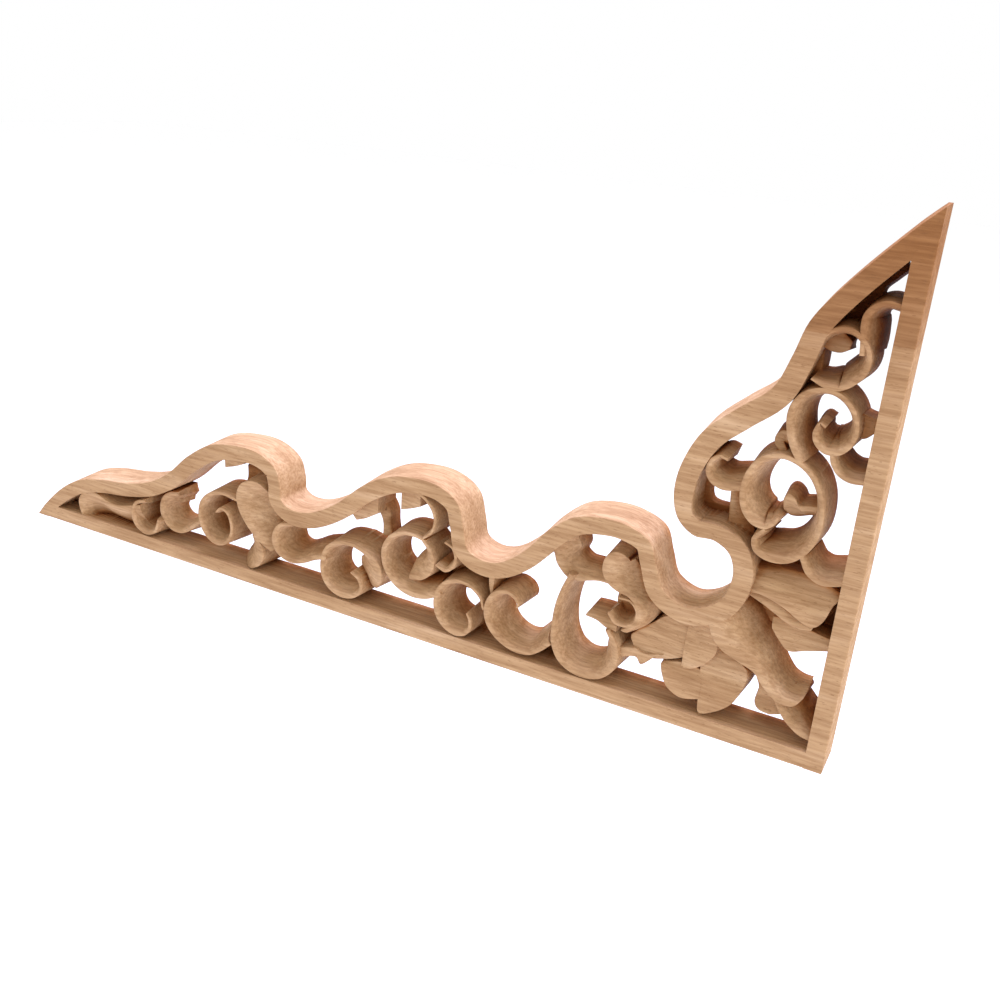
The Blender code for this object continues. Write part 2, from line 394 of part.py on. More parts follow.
def spans(pairs):
    """A long band as overlapping spans, so none crosses itself. Each end dips under its neighbour."""
    def sunk(pair):
        return tuple((*point[:2], point[2] + SPAN_DIP) for point in pair)
    ends, turned = [0], 0.0
    for i in range(2, len(pairs)):
        a, b, c = [near[:2] for near, _ in pairs[i - 2:i + 1]]
        turned += abs(math.remainder(math.atan2(c[1] - b[1], c[0] - b[0])
                                     - math.atan2(b[1] - a[1], b[0] - a[0]), math.tau))
        if turned > MOST_TURN and i < len(pairs) - 2:
            ends.append(i)
            turned = 0.0
    cut = []
    for start, end in zip(ends, ends[1:] + [len(pairs)]):
        span = pairs[max(start - 1, 0):end + 2]
        if start > 0:
            span[0] = sunk(span[0])
        if end < len(pairs):
            span[-1] = sunk(span[-1])
        cut.append(span)
    return cut


def catmull_rom(values, t):
    before, start, end, after = values
    bend = 2 * before - 5 * start + 4 * end - after
    twist = 3 * (start - end) + after - before
    return start + 0.5 * t * ((end - before) + t * (bend + t * twist))


def gouged_section(near, far):
    """Points across a band or leaf: outer wall, rim, gouge and inner wall down past the back."""
    width = math.dist(near[:2], far[:2])
    rim = min(RIM / width, 0.35)
    back = THICKNESS + MARGIN
    points = [(near[0], near[1], back)]
    for across, share in ((0.0, 0.0), (rim, 0.0), (0.55, 0.4), (1.0, 1.0)):
        points.append(tuple(a + (b - a) * k for a, b, k in zip(near, far, (across, across, share))))
    points.append((far[0], far[1], back))
    return points


def rail_sections(rows):
    """Flat-fronted sections of a rail along the kept rows of its outer edge."""
    back = THICKNESS + MARGIN
    return [[(row[0], row[1], back), (row[0], row[1], 0), (*far, 0), (*far, back)]
            for row, far in zip(rows, inner_edge(rows))]


def place(left, up, depth):
    """A point of the drawing in metres, from the middle of the corner square on the back."""
    half = RAIL_WIDTH / 2
    return ((half - left) * MM, (depth - THICKNESS) * MM, (up - half) * MM)


def solid_object(name, material, build):
    """An object whose mesh is filled by build and then faces outwards."""
    mesh = bpy.data.meshes.new(name)
    work = bmesh.new()
    build(work)
    bmesh.ops.recalc_face_normals(work, faces=work.faces)
    work.to_mesh(mesh)
    work.free()
    mesh.materials.append(material)
    piece = bpy.data.objects.new(name, mesh)
    bpy.context.scene.collection.objects.link(piece)
    return piece


def swept(name, material, sections):
    """A closed solid through a row of sections, each a loop of left, up and depth."""
    def build(work):
        rings = [[work.verts.new(place(*point)) for point in section] for section in sections]
        for ring, other in zip(rings, rings[1:]):
            for i in range(len(ring)):
                j = (i + 1) % len(ring)
                work.faces.new((ring[i], ring[j], other[j], other[i]))
        work.faces.new(rings[0][::-1])
        work.faces.new(rings[-1])
        bmesh.ops.triangulate(work, faces=work.faces[:])
    return solid_object(name, material, build)


def block(name, material, lefts, ups, depths):
    """A box between two lefts, two ups and two depths."""
    def build(work):
        corners = [work.verts.new(place(left, up, depth))
                   for left in lefts for up in ups for depth in depths]
        for face in ((0, 1, 3, 2), (4, 5, 7, 6), (0, 1, 5, 4), (2, 3, 7, 6), (0, 2, 6, 4), (1, 3, 7, 5)):
            work.faces.new([corners[i] for i in face])
    return solid_object(name, material, build)


def as_guide(piece, collection):
    """Keeps a piece only as an operand: out of renders, drawn as wire, in its own collection."""
    piece.hide_render = True
    piece.display_type = "WIRE"
    bpy.context.scene.collection.objects.unlink(piece)
    collection.objects.link(piece)


def boolean(target, name, operation, **operand):
    modifier = target.modifiers.new(name, "BOOLEAN")
    modifier.operation = operation
    modifier.solver = "MANIFOLD"
    for key, value in operand.items():
        setattr(modifier, key, value)


def build_onlay():
    material = wood()
    back = THICKNESS + MARGIN
    carving = bpy.data.collections.new("carving")
    bpy.context.scene.collection.children.link(carving)

    onlay = block("corner_onlay", material, (-MARGIN, LONG_LEG - 5.8), (-MARGIN, RAIL_WIDTH), (0, back))
    upright = block("right_rail", material, (-MARGIN, RAIL_WIDTH), (-MARGIN, SHORT_LEG - 6.5), (0, back))
    edge = thinned(smooth_line(scalloped_rail()), RAIL_FACET_ANGLE)
    pieces = [upright, swept("scalloped_rail", material, rail_sections(edge))]
    for shape in long_leg_scrolls() + corner_flower() + short_leg_scrolls():
        pairs = stroke_stations(shape) if isinstance(shape, Stroke) else leaf_stations(shape)
        for i, span in enumerate(spans(pairs)):
            sections = [gouged_section(near, far) for near, far in span]
            pieces.append(swept(f"{shape.name}_{i}", material, sections))
    for piece in pieces:
        as_guide(piece, carving)

    board = block("board", material, (0, LONG_LEG), (0, SHORT_LEG), (-MARGIN, THICKNESS))
    outline = bpy.data.collections.new("outline")
    bpy.context.scene.collection.children.link(outline)
    as_guide(board, outline)

    boolean(onlay, "join strokes", "UNION", operand_type="COLLECTION", collection=carving)
    boolean(onlay, "cut to board", "INTERSECT", operand_type="OBJECT", object=board)
    return onlay


clear_scene()
build_onlay()
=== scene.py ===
# %% [markdown]
# # A carved corner onlay in rubberwood
#
# An onlay is a thin piece of carving that is glued to the corner of a door, a table or a frame.
# This one was cut from a single 15 mm plank: the background was sawn away, so that light shows
# through, and the bands and leaves that stayed were hollowed with a gouge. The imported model
# gives its place and size, and everything here is made in the same frame, in metres.

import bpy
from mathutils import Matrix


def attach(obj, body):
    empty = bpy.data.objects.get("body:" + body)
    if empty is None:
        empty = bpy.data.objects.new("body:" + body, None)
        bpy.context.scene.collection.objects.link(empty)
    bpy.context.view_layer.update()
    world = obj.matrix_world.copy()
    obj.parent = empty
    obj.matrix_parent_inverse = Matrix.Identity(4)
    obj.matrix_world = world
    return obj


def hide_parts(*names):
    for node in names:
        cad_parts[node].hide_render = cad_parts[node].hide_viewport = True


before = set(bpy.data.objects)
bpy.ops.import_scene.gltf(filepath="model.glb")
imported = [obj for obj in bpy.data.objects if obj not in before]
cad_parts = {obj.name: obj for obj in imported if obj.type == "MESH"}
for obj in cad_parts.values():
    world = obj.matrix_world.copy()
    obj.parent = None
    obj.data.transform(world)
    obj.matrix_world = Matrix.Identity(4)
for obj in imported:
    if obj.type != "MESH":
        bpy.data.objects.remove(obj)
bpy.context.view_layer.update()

# %% Modules
import math
from collections import namedtuple

import bmesh
import bpy
from mathutils import Matrix, Vector
from mathutils.bvhtree import BVHTree

# %% [markdown]
# ## The camera
#
# The picture was taken from above and from the right, close enough for the far leg to shrink.
# A camera is a place, a lens and three directions. Writing the directions as a matrix keeps
# the slight roll of a camera held in the hand, which looking at a target would lose.

# %% Camera
CAMERA_PLACE = (0.032812, -0.322740, 0.192079)
CAMERA_RIGHT = (0.884138, 0.460326, 0.079997)
CAMERA_DOWN = (0.234197, -0.288476, -0.928404)
CAMERA_FORWARD = (-0.404291, 0.839572, -0.362860)

lens = bpy.data.cameras.new("camera")
lens.lens = 39.587
lens.sensor_width = 36.0
lens.clip_start = 0.01
camera = bpy.data.objects.new("camera", lens)
turn = Matrix([CAMERA_RIGHT, [-v for v in CAMERA_DOWN], [-v for v in CAMERA_FORWARD]]).transposed()
camera.matrix_world = Matrix.Translation(CAMERA_PLACE) @ turn.to_4x4()
bpy.context.scene.collection.objects.link(camera)
bpy.context.scene.camera = camera
print("camera", round((Vector(CAMERA_PLACE)).length, 3), "m from the corner")

# %% [markdown]
# ## Colours and nodes
#
# Colours are written as on a screen, in sRGB, and turned into the linear values that a
# renderer adds up. One small function adds a node with its settings and its links.

# %% Helpers for colours and nodes
def colour(code):
    """The linear colour, with full alpha, of an sRGB code such as c89a6a."""
    channels = [int(code[i:i + 2], 16) / 255 for i in (0, 2, 4)]
    return (*[c / 12.92 if c <= 0.04045 else ((c + 0.055) / 1.055) ** 2.4 for c in channels], 1.0)


def add_node(tree, kind, inputs=None, **settings):
    """A new node; inputs maps the name or number of a socket to a value or to another socket."""
    node = tree.nodes.new(kind)
    for name, value in settings.items():
        setattr(node, name, value)
    for name, value in (inputs or {}).items():
        socket = node.inputs[name]
        if isinstance(value, bpy.types.NodeSocket):
            tree.links.new(value, socket)
        else:
            socket.default_value = value
    return node


# %% [markdown]
# ## Floor and light
#
# The background of the picture is plain white. A white floor well below the piece and a white
# world give that, and fill every hollow with soft light. Two large soft lamps do the rest. The
# one overhead makes each upward wall the brightest, and its blue tint brings those walls near the
# tone that they have in the picture. The one on the right lights the flanks.

# %% Floor
FLOOR_SIZE = 12.0
FLOOR_HEIGHT = -0.35

bpy.ops.mesh.primitive_plane_add(size=FLOOR_SIZE, location=(0.0, 0.0, FLOOR_HEIGHT))
floor = bpy.context.object
floor.name = "floor"
pale = bpy.data.materials.new("pale matt floor")
pale.use_nodes = True
pale.node_tree.nodes["Principled BSDF"].inputs["Base Color"].default_value = colour("ffffff")
pale.node_tree.nodes["Principled BSDF"].inputs["Roughness"].default_value = 0.9
floor.data.materials.append(pale)
print("floor", -FLOOR_HEIGHT, "m below the corner")

# %% Light
def soft_lamp(name, place, target, size, power, tint=(1.0, 1.0, 1.0)):
    """A square area lamp, size metres wide, that points from place at target."""
    light = bpy.data.lights.new(name, "AREA")
    light.color = tint
    light.size = size
    light.energy = power
    lamp = bpy.data.objects.new(name, light)
    lamp.location = place
    lamp.rotation_euler = (Vector(target) - Vector(place)).to_track_quat("-Z", "Y").to_euler()
    bpy.context.scene.collection.objects.link(lamp)


MIDDLE = (-0.12, 0.0, 0.06)
COOL = (0.98, 1.03, 1.6)
soft_lamp("overhead lamp", (-0.05, 0.12, 1.30), MIDDLE, 0.6, 22.0, COOL)
soft_lamp("right lamp", (1.20, -0.15, 0.40), MIDDLE, 0.6, 6.0)

world = bpy.data.worlds.new("white room")
bpy.context.scene.world = world
world.use_nodes = True
world.node_tree.nodes["Background"].inputs["Color"].default_value = (1.0, 1.0, 1.0, 1.0)
world.node_tree.nodes["Background"].inputs["Strength"].default_value = 1.0
bpy.context.scene.view_settings.view_transform = "Standard"
print("lamps:", sorted(light.name for light in bpy.data.lights))

# %% [markdown]
# ## How the carving is drawn
#
# A carver draws on the face of the plank, so the drawing here is flat too. It is measured in
# millimetres from the outer corner of the two straight rails: left along the long leg, up along
# the short leg, and depth behind the front. There are two kinds of shape.
#
# - A stroke is a band. Its rows give left, up and width along the rim, and the band lies on the
#   left of travel. The rim is drop below the front, and the gouge falls by dip across the band.
# - A leaf lies between two edges, with a depth at each row. The near edge has the rim.

# %% Measures and kinds of shape
MM = 0.001
LONG_LEG = 340.0
SHORT_LEG = 172.0
THICKNESS = 15.0
RAIL_WIDTH = 5.8
RIM = 1.0
EDGE_ROUNDING = 0.35
BAND_GOUGE = 1.7
LEAF_GOUGE = 1.5
TONGUE_GOUGE = 2.4

Stroke = namedtuple("Stroke", "name drop dip line")
Leaf = namedtuple("Leaf", "name near far")
shapes = []


def arc(left, up, radius, start, end, first, last):
    """Rows along an arc, at most 45 degrees apart, whose width goes from first to last."""
    count = max(2, math.ceil(abs(end - start) / 45))
    rows = []
    for i in range(count + 1):
        share = i / count
        angle = math.radians(start + (end - start) * share)
        width = first + (last - first) * share
        rows.append((left - radius * math.cos(angle), up + radius * math.sin(angle), width))
    return rows


# %% [markdown]
# ### The rails
#
# The scalloped rail runs from the tip of the short leg over one tall lobe, round a deep notch and
# over three lobes to the long tip. It stays flat, as the face of the plank was.

# %% Scalloped rail
short_leg_lobe = [
    (-6.0, 178.0, 5.6), (0.0, SHORT_LEG, 5.6), (6.4, 165.7, 5.8), (20.7, 149.3, 6.0),
    (28.5, 138.0, 6.2), (31.8, 127.0, 6.3), (35.5, 117.4, 6.5), (44.0, 109.8, 6.8), (53.5, 100.5, 6.8),
    (58.7, 89.0, 6.6), (59.8, 79.0, 6.2), (57.4, 71.2, 5.2), (51.6, 66.9, 5.6),
]
notch = [(45.0, 66.9, 5.4), (39.6, 63.6, 6.2), (37.7, 56.5, 6.3), (40.6, 47.6, 6.0),
         (49.5, 42.7, 5.8), (58.4, 46.0, 5.4)]
inner_lobe = [(62.0, 54.0, 5.2), (65.0, 61.2, 5.2), (72.0, 64.5, 5.5), (80.0, 65.2, 5.8),
              (91.0, 62.9, 6.2), (99.5, 56.2, 6.4), (108.0, 46.0, 6.2), (116.0, 39.8, 5.8)]
middle_lobe = [(123.0, 38.4, 5.6), (129.2, 41.0, 5.4), (131.2, 48.0, 5.3),
               (134.0, 56.4, 5.3), (141.0, 60.8, 5.4), (150.0, 61.8, 5.7),
               (162.0, 59.7, 6.2), (173.0, 53.6, 6.4), (184.3, 43.8, 6.3), (195.0, 37.7, 6.2)]
outer_lobe = [(203.5, 36.3, 6.0), (208.8, 38.8, 5.6), (209.6, 44.6, 5.4), (212.0, 50.9, 5.4),
              (220.0, 55.2, 5.6), (231.0, 55.6, 6.0), (243.0, 53.1, 6.4),
              (254.5, 45.8, 6.5), (265.0, 36.2, 6.2), (275.5, 30.0, 5.9)]
long_tip = [(288.0, 26.6, 5.7), (302.0, 24.7, 5.7), (314.0, 21.6, 5.8), (324.5, 15.4, 5.6),
            (334.5, 6.4, 5.0), (LONG_LEG, 0.0, 5.0), (346.0, -7.0, 5.0)]
scalloped_rail = short_leg_lobe + notch + inner_lobe + middle_lobe + outer_lobe + long_tip
print("scalloped rail drawn with", len(scalloped_rail), "rows")

# %% [markdown]
# ### The tip of the long leg
#
# A slim leaf and two open rings fill the narrow tip. The leaf has a floor behind it, because the
# carver could not saw through so thin a place without breaking it.

# %% Tip of the long leg
shapes += [
    Leaf("tip_leaf",
         [(281.0, 18.5, 0.8), (287.0, 16.8, 0.6), (293.0, 15.4, 0.5), (299.0, 15.8, 0.4), (305.0, 17.7, 0.4),
          (311.0, 17.2, 0.4), (314.8, 14.0, 0.4), (315.6, 10.0, 0.5), (314.0, 4.5, 0.8)],
         [(281.0, 6.0, 9.0), (287.0, 4.8, 9.0), (292.0, 4.8, 9.0), (297.0, 4.8, 9.5), (300.5, 5.0, 9.5),
          (303.5, 5.0, 9.5), (306.0, 5.0, 9.0), (308.5, 4.8, 8.0), (310.0, 4.5, 6.0)]),
    Leaf("tip_web",
         [(266.0, 30.0, 12.5), (276.0, 25.0, 12.5), (290.0, 23.5, 12.5), (304.0, 21.0, 12.5),
          (314.0, 17.5, 12.5), (325.0, 9.0, 12.5)],
         [(266.0, 24.0, 12.5), (276.0, 8.0, 12.5), (290.0, 5.0, 12.5), (304.0, 4.5, 12.5),
          (312.0, 4.5, 12.5), (322.0, 4.5, 12.5)]),
    Stroke("tip_ring", 0.3, 7.0, arc(278.0, 14.0, 7.7, 90, 360, 2.4, 3.0)),
    Stroke("second_ring", 3.0, 5.5, [(262.8, 27.9, 2.0)] + arc(263.6, 18.9, 8.9, 112, 180, 6.0, 4.2)
           + arc(263.6, 18.9, 8.9, 210, 282, 4.0, 3.8) + [(257.3, 12.4, 3.4), (251.2, 17.3, 3.4)]),
]
print(len(shapes), "carved shapes so far")

# %% [markdown]
# ### The outer lobe
#
# A scroll curls up to an eye, a tall leaf leans on it from the right, and a wave runs on along the
# bottom. The rail keeps a small tab where the saw turned back.

# %% Outer lobe
shapes += [
    Stroke("eye_scroll", 0.2, 8.5, [
        (229.8, 33.8, 2.0), (232.5, 34.2, 2.2), (237.8, 35.0, 2.6), (243.8, 33.4, 3.2), (248.4, 29.0, 3.6),
        (249.8, 22.8, 3.8), (248.2, 17.0, 4.0), (244.4, 13.0, 4.2), (239.6, 11.9, 4.0),
        (235.2, 14.0, 3.6), (232.7, 18.4, 3.0), (232.9, 23.6, 2.6), (235.2, 27.5, 2.3),
        (238.7, 28.3, 1.9), (241.0, 26.0, 1.2)]),
    Leaf("tall_leaf",
         [(215.5, 40.5, 0.4), (219.0, 42.6, 0.3), (223.0, 43.1, 0.3), (228.2, 41.0, 0.3),
          (230.7, 36.2, 0.3), (230.0, 31.0, 0.3), (227.4, 26.3, 0.3), (223.6, 22.1, 0.3),
          (219.0, 18.4, 0.5), (214.5, 16.0, 1.0)],
         [(213.0, 39.5, 4.0), (213.0, 38.5, 5.0), (212.5, 37.5, 6.5), (212.0, 36.0, 8.0),
          (211.5, 34.0, 9.0), (211.0, 31.5, 9.5), (210.5, 28.5, 9.5), (210.0, 25.5, 9.0),
          (210.0, 22.0, 7.5), (211.0, 18.0, 4.5)]),
    Leaf("outer_lobe_web",
         [(235.0, 43.5, 12.5), (235.4, 37.0, 12.5), (241.0, 30.0, 12.5), (244.0, 22.0, 12.5),
          (236.0, 16.5, 12.5)],
         [(213.0, 48.0, 12.5), (213.0, 40.0, 12.5), (213.0, 32.0, 12.5), (213.0, 26.0, 12.5),
          (213.0, 20.0, 12.5)]),
    Leaf("outer_lobe_tab",
         [(238.1, 44.3, 3.0), (233.2, 45.9, 3.0), (228.6, 48.0, 2.6)],
         [(238.4, 50.5, 3.0), (233.3, 52.0, 3.0), (228.6, 52.5, 2.6)]),
    Leaf("tall_leaf_curl",
         [(223.2, 6.4, 1.0), (219.8, 8.6, 0.6), (217.5, 13.0, 0.4), (218.4, 17.4, 0.4), (221.6, 21.0, 0.6)],
         [(229.5, 6.0, 5.0), (231.5, 8.0, 8.0), (230.5, 10.5, 8.5), (228.5, 14.0, 8.5),
          (226.5, 19.0, 6.0)]),
    Stroke("wave_scroll", 0.2, 8.5, [
        (204.0, 31.0, 3.0), (209.5, 29.4, 3.6), (212.8, 25.6, 4.6), (213.4, 21.0, 5.2),
        (211.4, 17.0, 5.0), (207.5, 14.8, 4.4), (203.0, 14.4, 4.2), (198.0, 16.0, 4.6),
        (193.5, 18.4, 4.8), (188.0, 20.4, 4.6)]),
]
print(len(shapes), "carved shapes so far")

# %% [markdown]
# ### The middle lobe
#
# The twin scroll and its leaf stand below a high arch, which holds the largest ring of this leg.

# %% Middle lobe, left half
shapes += [
    Stroke("twin_scroll", 0.2, 8.5, [
        (175.5, 30.0, 3.2), (183.0, 29.3, 3.6), (188.5, 25.6, 3.8), (190.7, 19.8, 3.6),
        (190.4, 14.0, 3.8), (187.3, 9.2, 4.4), (182.0, 6.8, 5.2), (176.5, 7.5, 5.2),
        (172.6, 10.4, 4.2), (171.7, 13.8, 3.2), (173.5, 16.9, 2.4), (176.8, 18.5, 1.4)]),
    Leaf("twin_scroll_leaf",
         [(171.0, 10.6, 8.0), (166.4, 14.2, 2.6), (163.6, 19.0, 0.3), (164.6, 24.2, 0.2), (169.5, 28.2, 0.2),
          (176.0, 30.0, 0.2)],
         [(174.0, 12.2, 9.0), (175.0, 15.0, 8.5), (177.0, 18.4, 8.0), (176.8, 22.2, 7.0), (174.6, 24.8, 5.0),
          (176.6, 27.2, 3.0)]),
    Leaf("lobe_tie",
         [(177.0, 48.0, 8.0), (173.0, 44.5, 8.0), (170.3, 41.5, 8.0), (168.8, 38.0, 8.0), (168.6, 33.0, 8.0)],
         [(172.0, 51.0, 9.0), (168.5, 46.3, 9.0), (166.3, 42.5, 9.0), (166.0, 38.0, 9.0),
          (165.0, 33.0, 9.0)]),
    Leaf("middle_lobe_tab",
         [(177.0, 38.3, 3.0), (173.0, 40.0, 3.0), (167.9, 43.3, 3.0)],
         [(182.0, 44.0, 3.0), (175.0, 50.0, 3.0), (168.0, 54.5, 3.0)]),
    Leaf("arch_tab",
         [(158.3, 47.2, 3.0), (153.8, 48.9, 2.4), (149.7, 50.9, 1.6)],
         [(158.5, 57.0, 3.0), (153.8, 58.0, 2.0), (149.7, 57.6, 1.0)]),
    Stroke("lobe_scroll", 0.2, 8.5, [
        (146.0, 39.4, 1.6), (150.5, 40.6, 2.4), (156.3, 40.2, 2.8), (161.3, 37.2, 3.0),
        (164.0, 32.0, 3.0), (163.6, 26.0, 3.2), (160.6, 20.8, 4.2), (155.5, 17.2, 5.8),
        (149.5, 16.0, 6.6), (143.5, 17.3, 6.6), (138.5, 20.5, 5.0)]),
    Leaf("lobe_scroll_leaf",
         [(151.5, 22.8, 0.4), (146.8, 23.8, 0.2), (143.2, 27.2, 0.2), (141.9, 31.8, 0.2), (143.5, 36.2, 0.2),
          (147.0, 39.8, 0.2)],
         [(152.8, 24.8, 3.0), (152.6, 28.0, 5.5), (151.4, 30.8, 7.0), (149.4, 33.2, 7.0), (148.0, 35.6, 5.0),
          (148.6, 38.4, 3.0)]),
]
print(len(shapes), "carved shapes so far")

# %% Middle lobe, right half
shapes += [
    Leaf("middle_lobe_web",
         [(147.0, 24.0, 12.5), (137.0, 20.0, 12.5), (128.0, 20.0, 12.5), (119.0, 22.0, 12.5)],
         [(147.0, 36.0, 12.5), (137.0, 41.0, 12.5), (128.0, 40.0, 12.5), (119.0, 37.0, 12.5)]),
    Stroke("lobe_arch", 0.2, 8.5, [
        (147.0, 39.6, 1.4), (143.5, 43.0, 2.0), (142.3, 47.5, 2.2), (143.6, 52.0, 2.6),
        (147.0, 55.4, 2.6), (151.5, 57.3, 2.6), (156.8, 58.0, 2.6)]),
    Stroke("lobe_curl", 0.2, 8.5, [
        (141.5, 31.0, 1.6), (137.5, 29.6, 2.4), (134.2, 32.0, 3.0), (132.9, 36.0, 3.2),
        (134.6, 39.8, 2.4), (138.2, 41.2, 1.6)]),
    Stroke("round_scroll", 0.2, 8.5, [
        (121.0, 20.0, 1.8), (122.6, 24.4, 2.2), (127.0, 27.6, 2.4), (132.0, 28.3, 3.0),
        (137.5, 26.2, 4.0), (141.0, 21.0, 4.6), (141.2, 14.6, 4.8), (138.2, 9.2, 5.2),
        (133.0, 6.4, 5.4), (128.3, 7.2, 4.6), (125.6, 10.5, 3.4), (125.8, 14.0, 2.4),
        (127.6, 16.6, 1.2)]),
    Stroke("blade", 2.0, 0.5, [(121.2, 35.0, 2.6), (120.8, 29.5, 1.8), (119.6, 24.6, 0.7)]),
]
print(len(shapes), "carved shapes so far")

# %% [markdown]
# ### The inner lobe
#
# A cup and a tall scroll meet at a sharp joint, and a hook with a deep eye hangs from the rail.

# %% Inner lobe
shapes += [
    Stroke("cup_scroll", 0.2, 8.5, [
        (108.3, 24.4, 1.4), (108.0, 26.2, 2.0), (109.6, 28.6, 2.8), (113.4, 29.8, 3.4), (118.2, 27.6, 4.2),
        (120.9, 23.0, 4.6), (121.0, 18.0, 4.6), (118.6, 13.0, 4.4), (114.0, 9.3, 3.8),
        (108.0, 7.4, 3.6), (102.5, 8.0, 3.8), (98.5, 10.6, 4.6), (94.6, 14.6, 5.0)]),
    Leaf("low_web",
         [(134.0, 3.0, 12.5), (120.0, 3.0, 12.5), (106.0, 3.0, 12.5), (93.0, 3.0, 12.5)],
         [(134.0, 9.5, 12.5), (120.0, 9.5, 12.5), (106.0, 8.6, 12.5), (93.0, 9.0, 12.5)]),
    Stroke("tall_scroll", 0.2, 8.5, [
        (91.0, 42.4, 2.2), (93.2, 36.5, 2.3), (94.8, 30.0, 2.6), (95.3, 23.0, 3.0),
        (94.8, 15.5, 4.2), (91.3, 9.3, 4.8), (84.5, 6.2, 4.9), (77.0, 7.2, 5.2),
        (72.2, 11.2, 6.2), (70.4, 16.5, 7.0), (71.3, 22.0, 6.4), (74.8, 26.8, 3.6)]),
    Leaf("tall_scroll_branch",
         [(100.4, 50.5, 3.0), (98.2, 47.1, 3.0), (96.7, 43.5, 3.0), (92.7, 39.8, 3.0), (88.5, 39.0, 4.0),
          (85.5, 40.0, 4.0), (81.4, 41.0, 4.0), (76.5, 40.6, 4.5)],
         [(92.0, 56.0, 5.0), (90.0, 51.0, 6.5), (91.0, 47.6, 7.5), (89.6, 45.8, 8.0), (87.6, 44.9, 8.0),
          (85.0, 44.8, 8.0), (81.0, 44.8, 7.0), (76.0, 44.8, 6.0)]),
    Leaf("hook_scroll",
         [(71.0, 52.4, 0.4), (72.6, 54.2, 0.2), (75.8, 54.6, 0.2), (78.8, 52.4, 0.2), (79.8, 48.0, 0.2),
          (78.2, 44.0, 0.2), (74.4, 41.4, 0.2), (69.6, 40.2, 0.2), (66.3, 36.4, 0.2), (66.8, 31.6, 0.2),
          (70.8, 28.0, 0.2)],
         [(69.6, 53.4, 2.0), (69.8, 52.8, 3.0), (69.4, 51.6, 4.0), (68.4, 49.8, 5.0), (67.0, 47.0, 6.0),
          (65.0, 44.0, 6.0), (62.6, 41.0, 6.0), (60.4, 38.4, 5.5), (60.6, 34.6, 5.0), (63.6, 30.4, 3.5),
          (68.8, 27.2, 1.2)]),
    Stroke("hook_eye", 0.2, 7.0, arc(71.0, 34.4, 5.4, -160, 110, 1.7, 1.5)),
    Leaf("hook_floor",
         [(75.6, 38.4, 9.0), (76.2, 34.0, 9.0), (74.6, 29.4, 9.0)],
         [(65.0, 39.0, 9.0), (64.5, 34.0, 9.0), (66.0, 29.0, 9.0)]),
    Leaf("hook_tail",
         [(84.4, 28.3, 2.4), (80.0, 27.9, 2.0), (76.4, 26.6, 1.4), (72.5, 26.4, 1.0)],
         [(84.0, 29.3, 3.2), (80.0, 29.6, 3.2), (76.0, 29.6, 2.8), (72.5, 30.4, 2.0)]),
    Leaf("tendril",
         [(56.0, 22.6, 2.4), (62.4, 21.2, 2.0), (66.0, 22.2, 2.0), (73.0, 20.0, 2.2)],
         [(58.5, 21.2, 2.8), (63.0, 16.6, 2.8), (65.6, 18.8, 2.6), (73.0, 16.0, 2.6)]),
]
print(len(shapes), "carved shapes so far")

# %% [markdown]
# ### The corner flower
#
# The leaves overlap like petals. The long tongue starts flat at its left edge and rolls away
# to the right, so it gets a steeper gouge than the others.

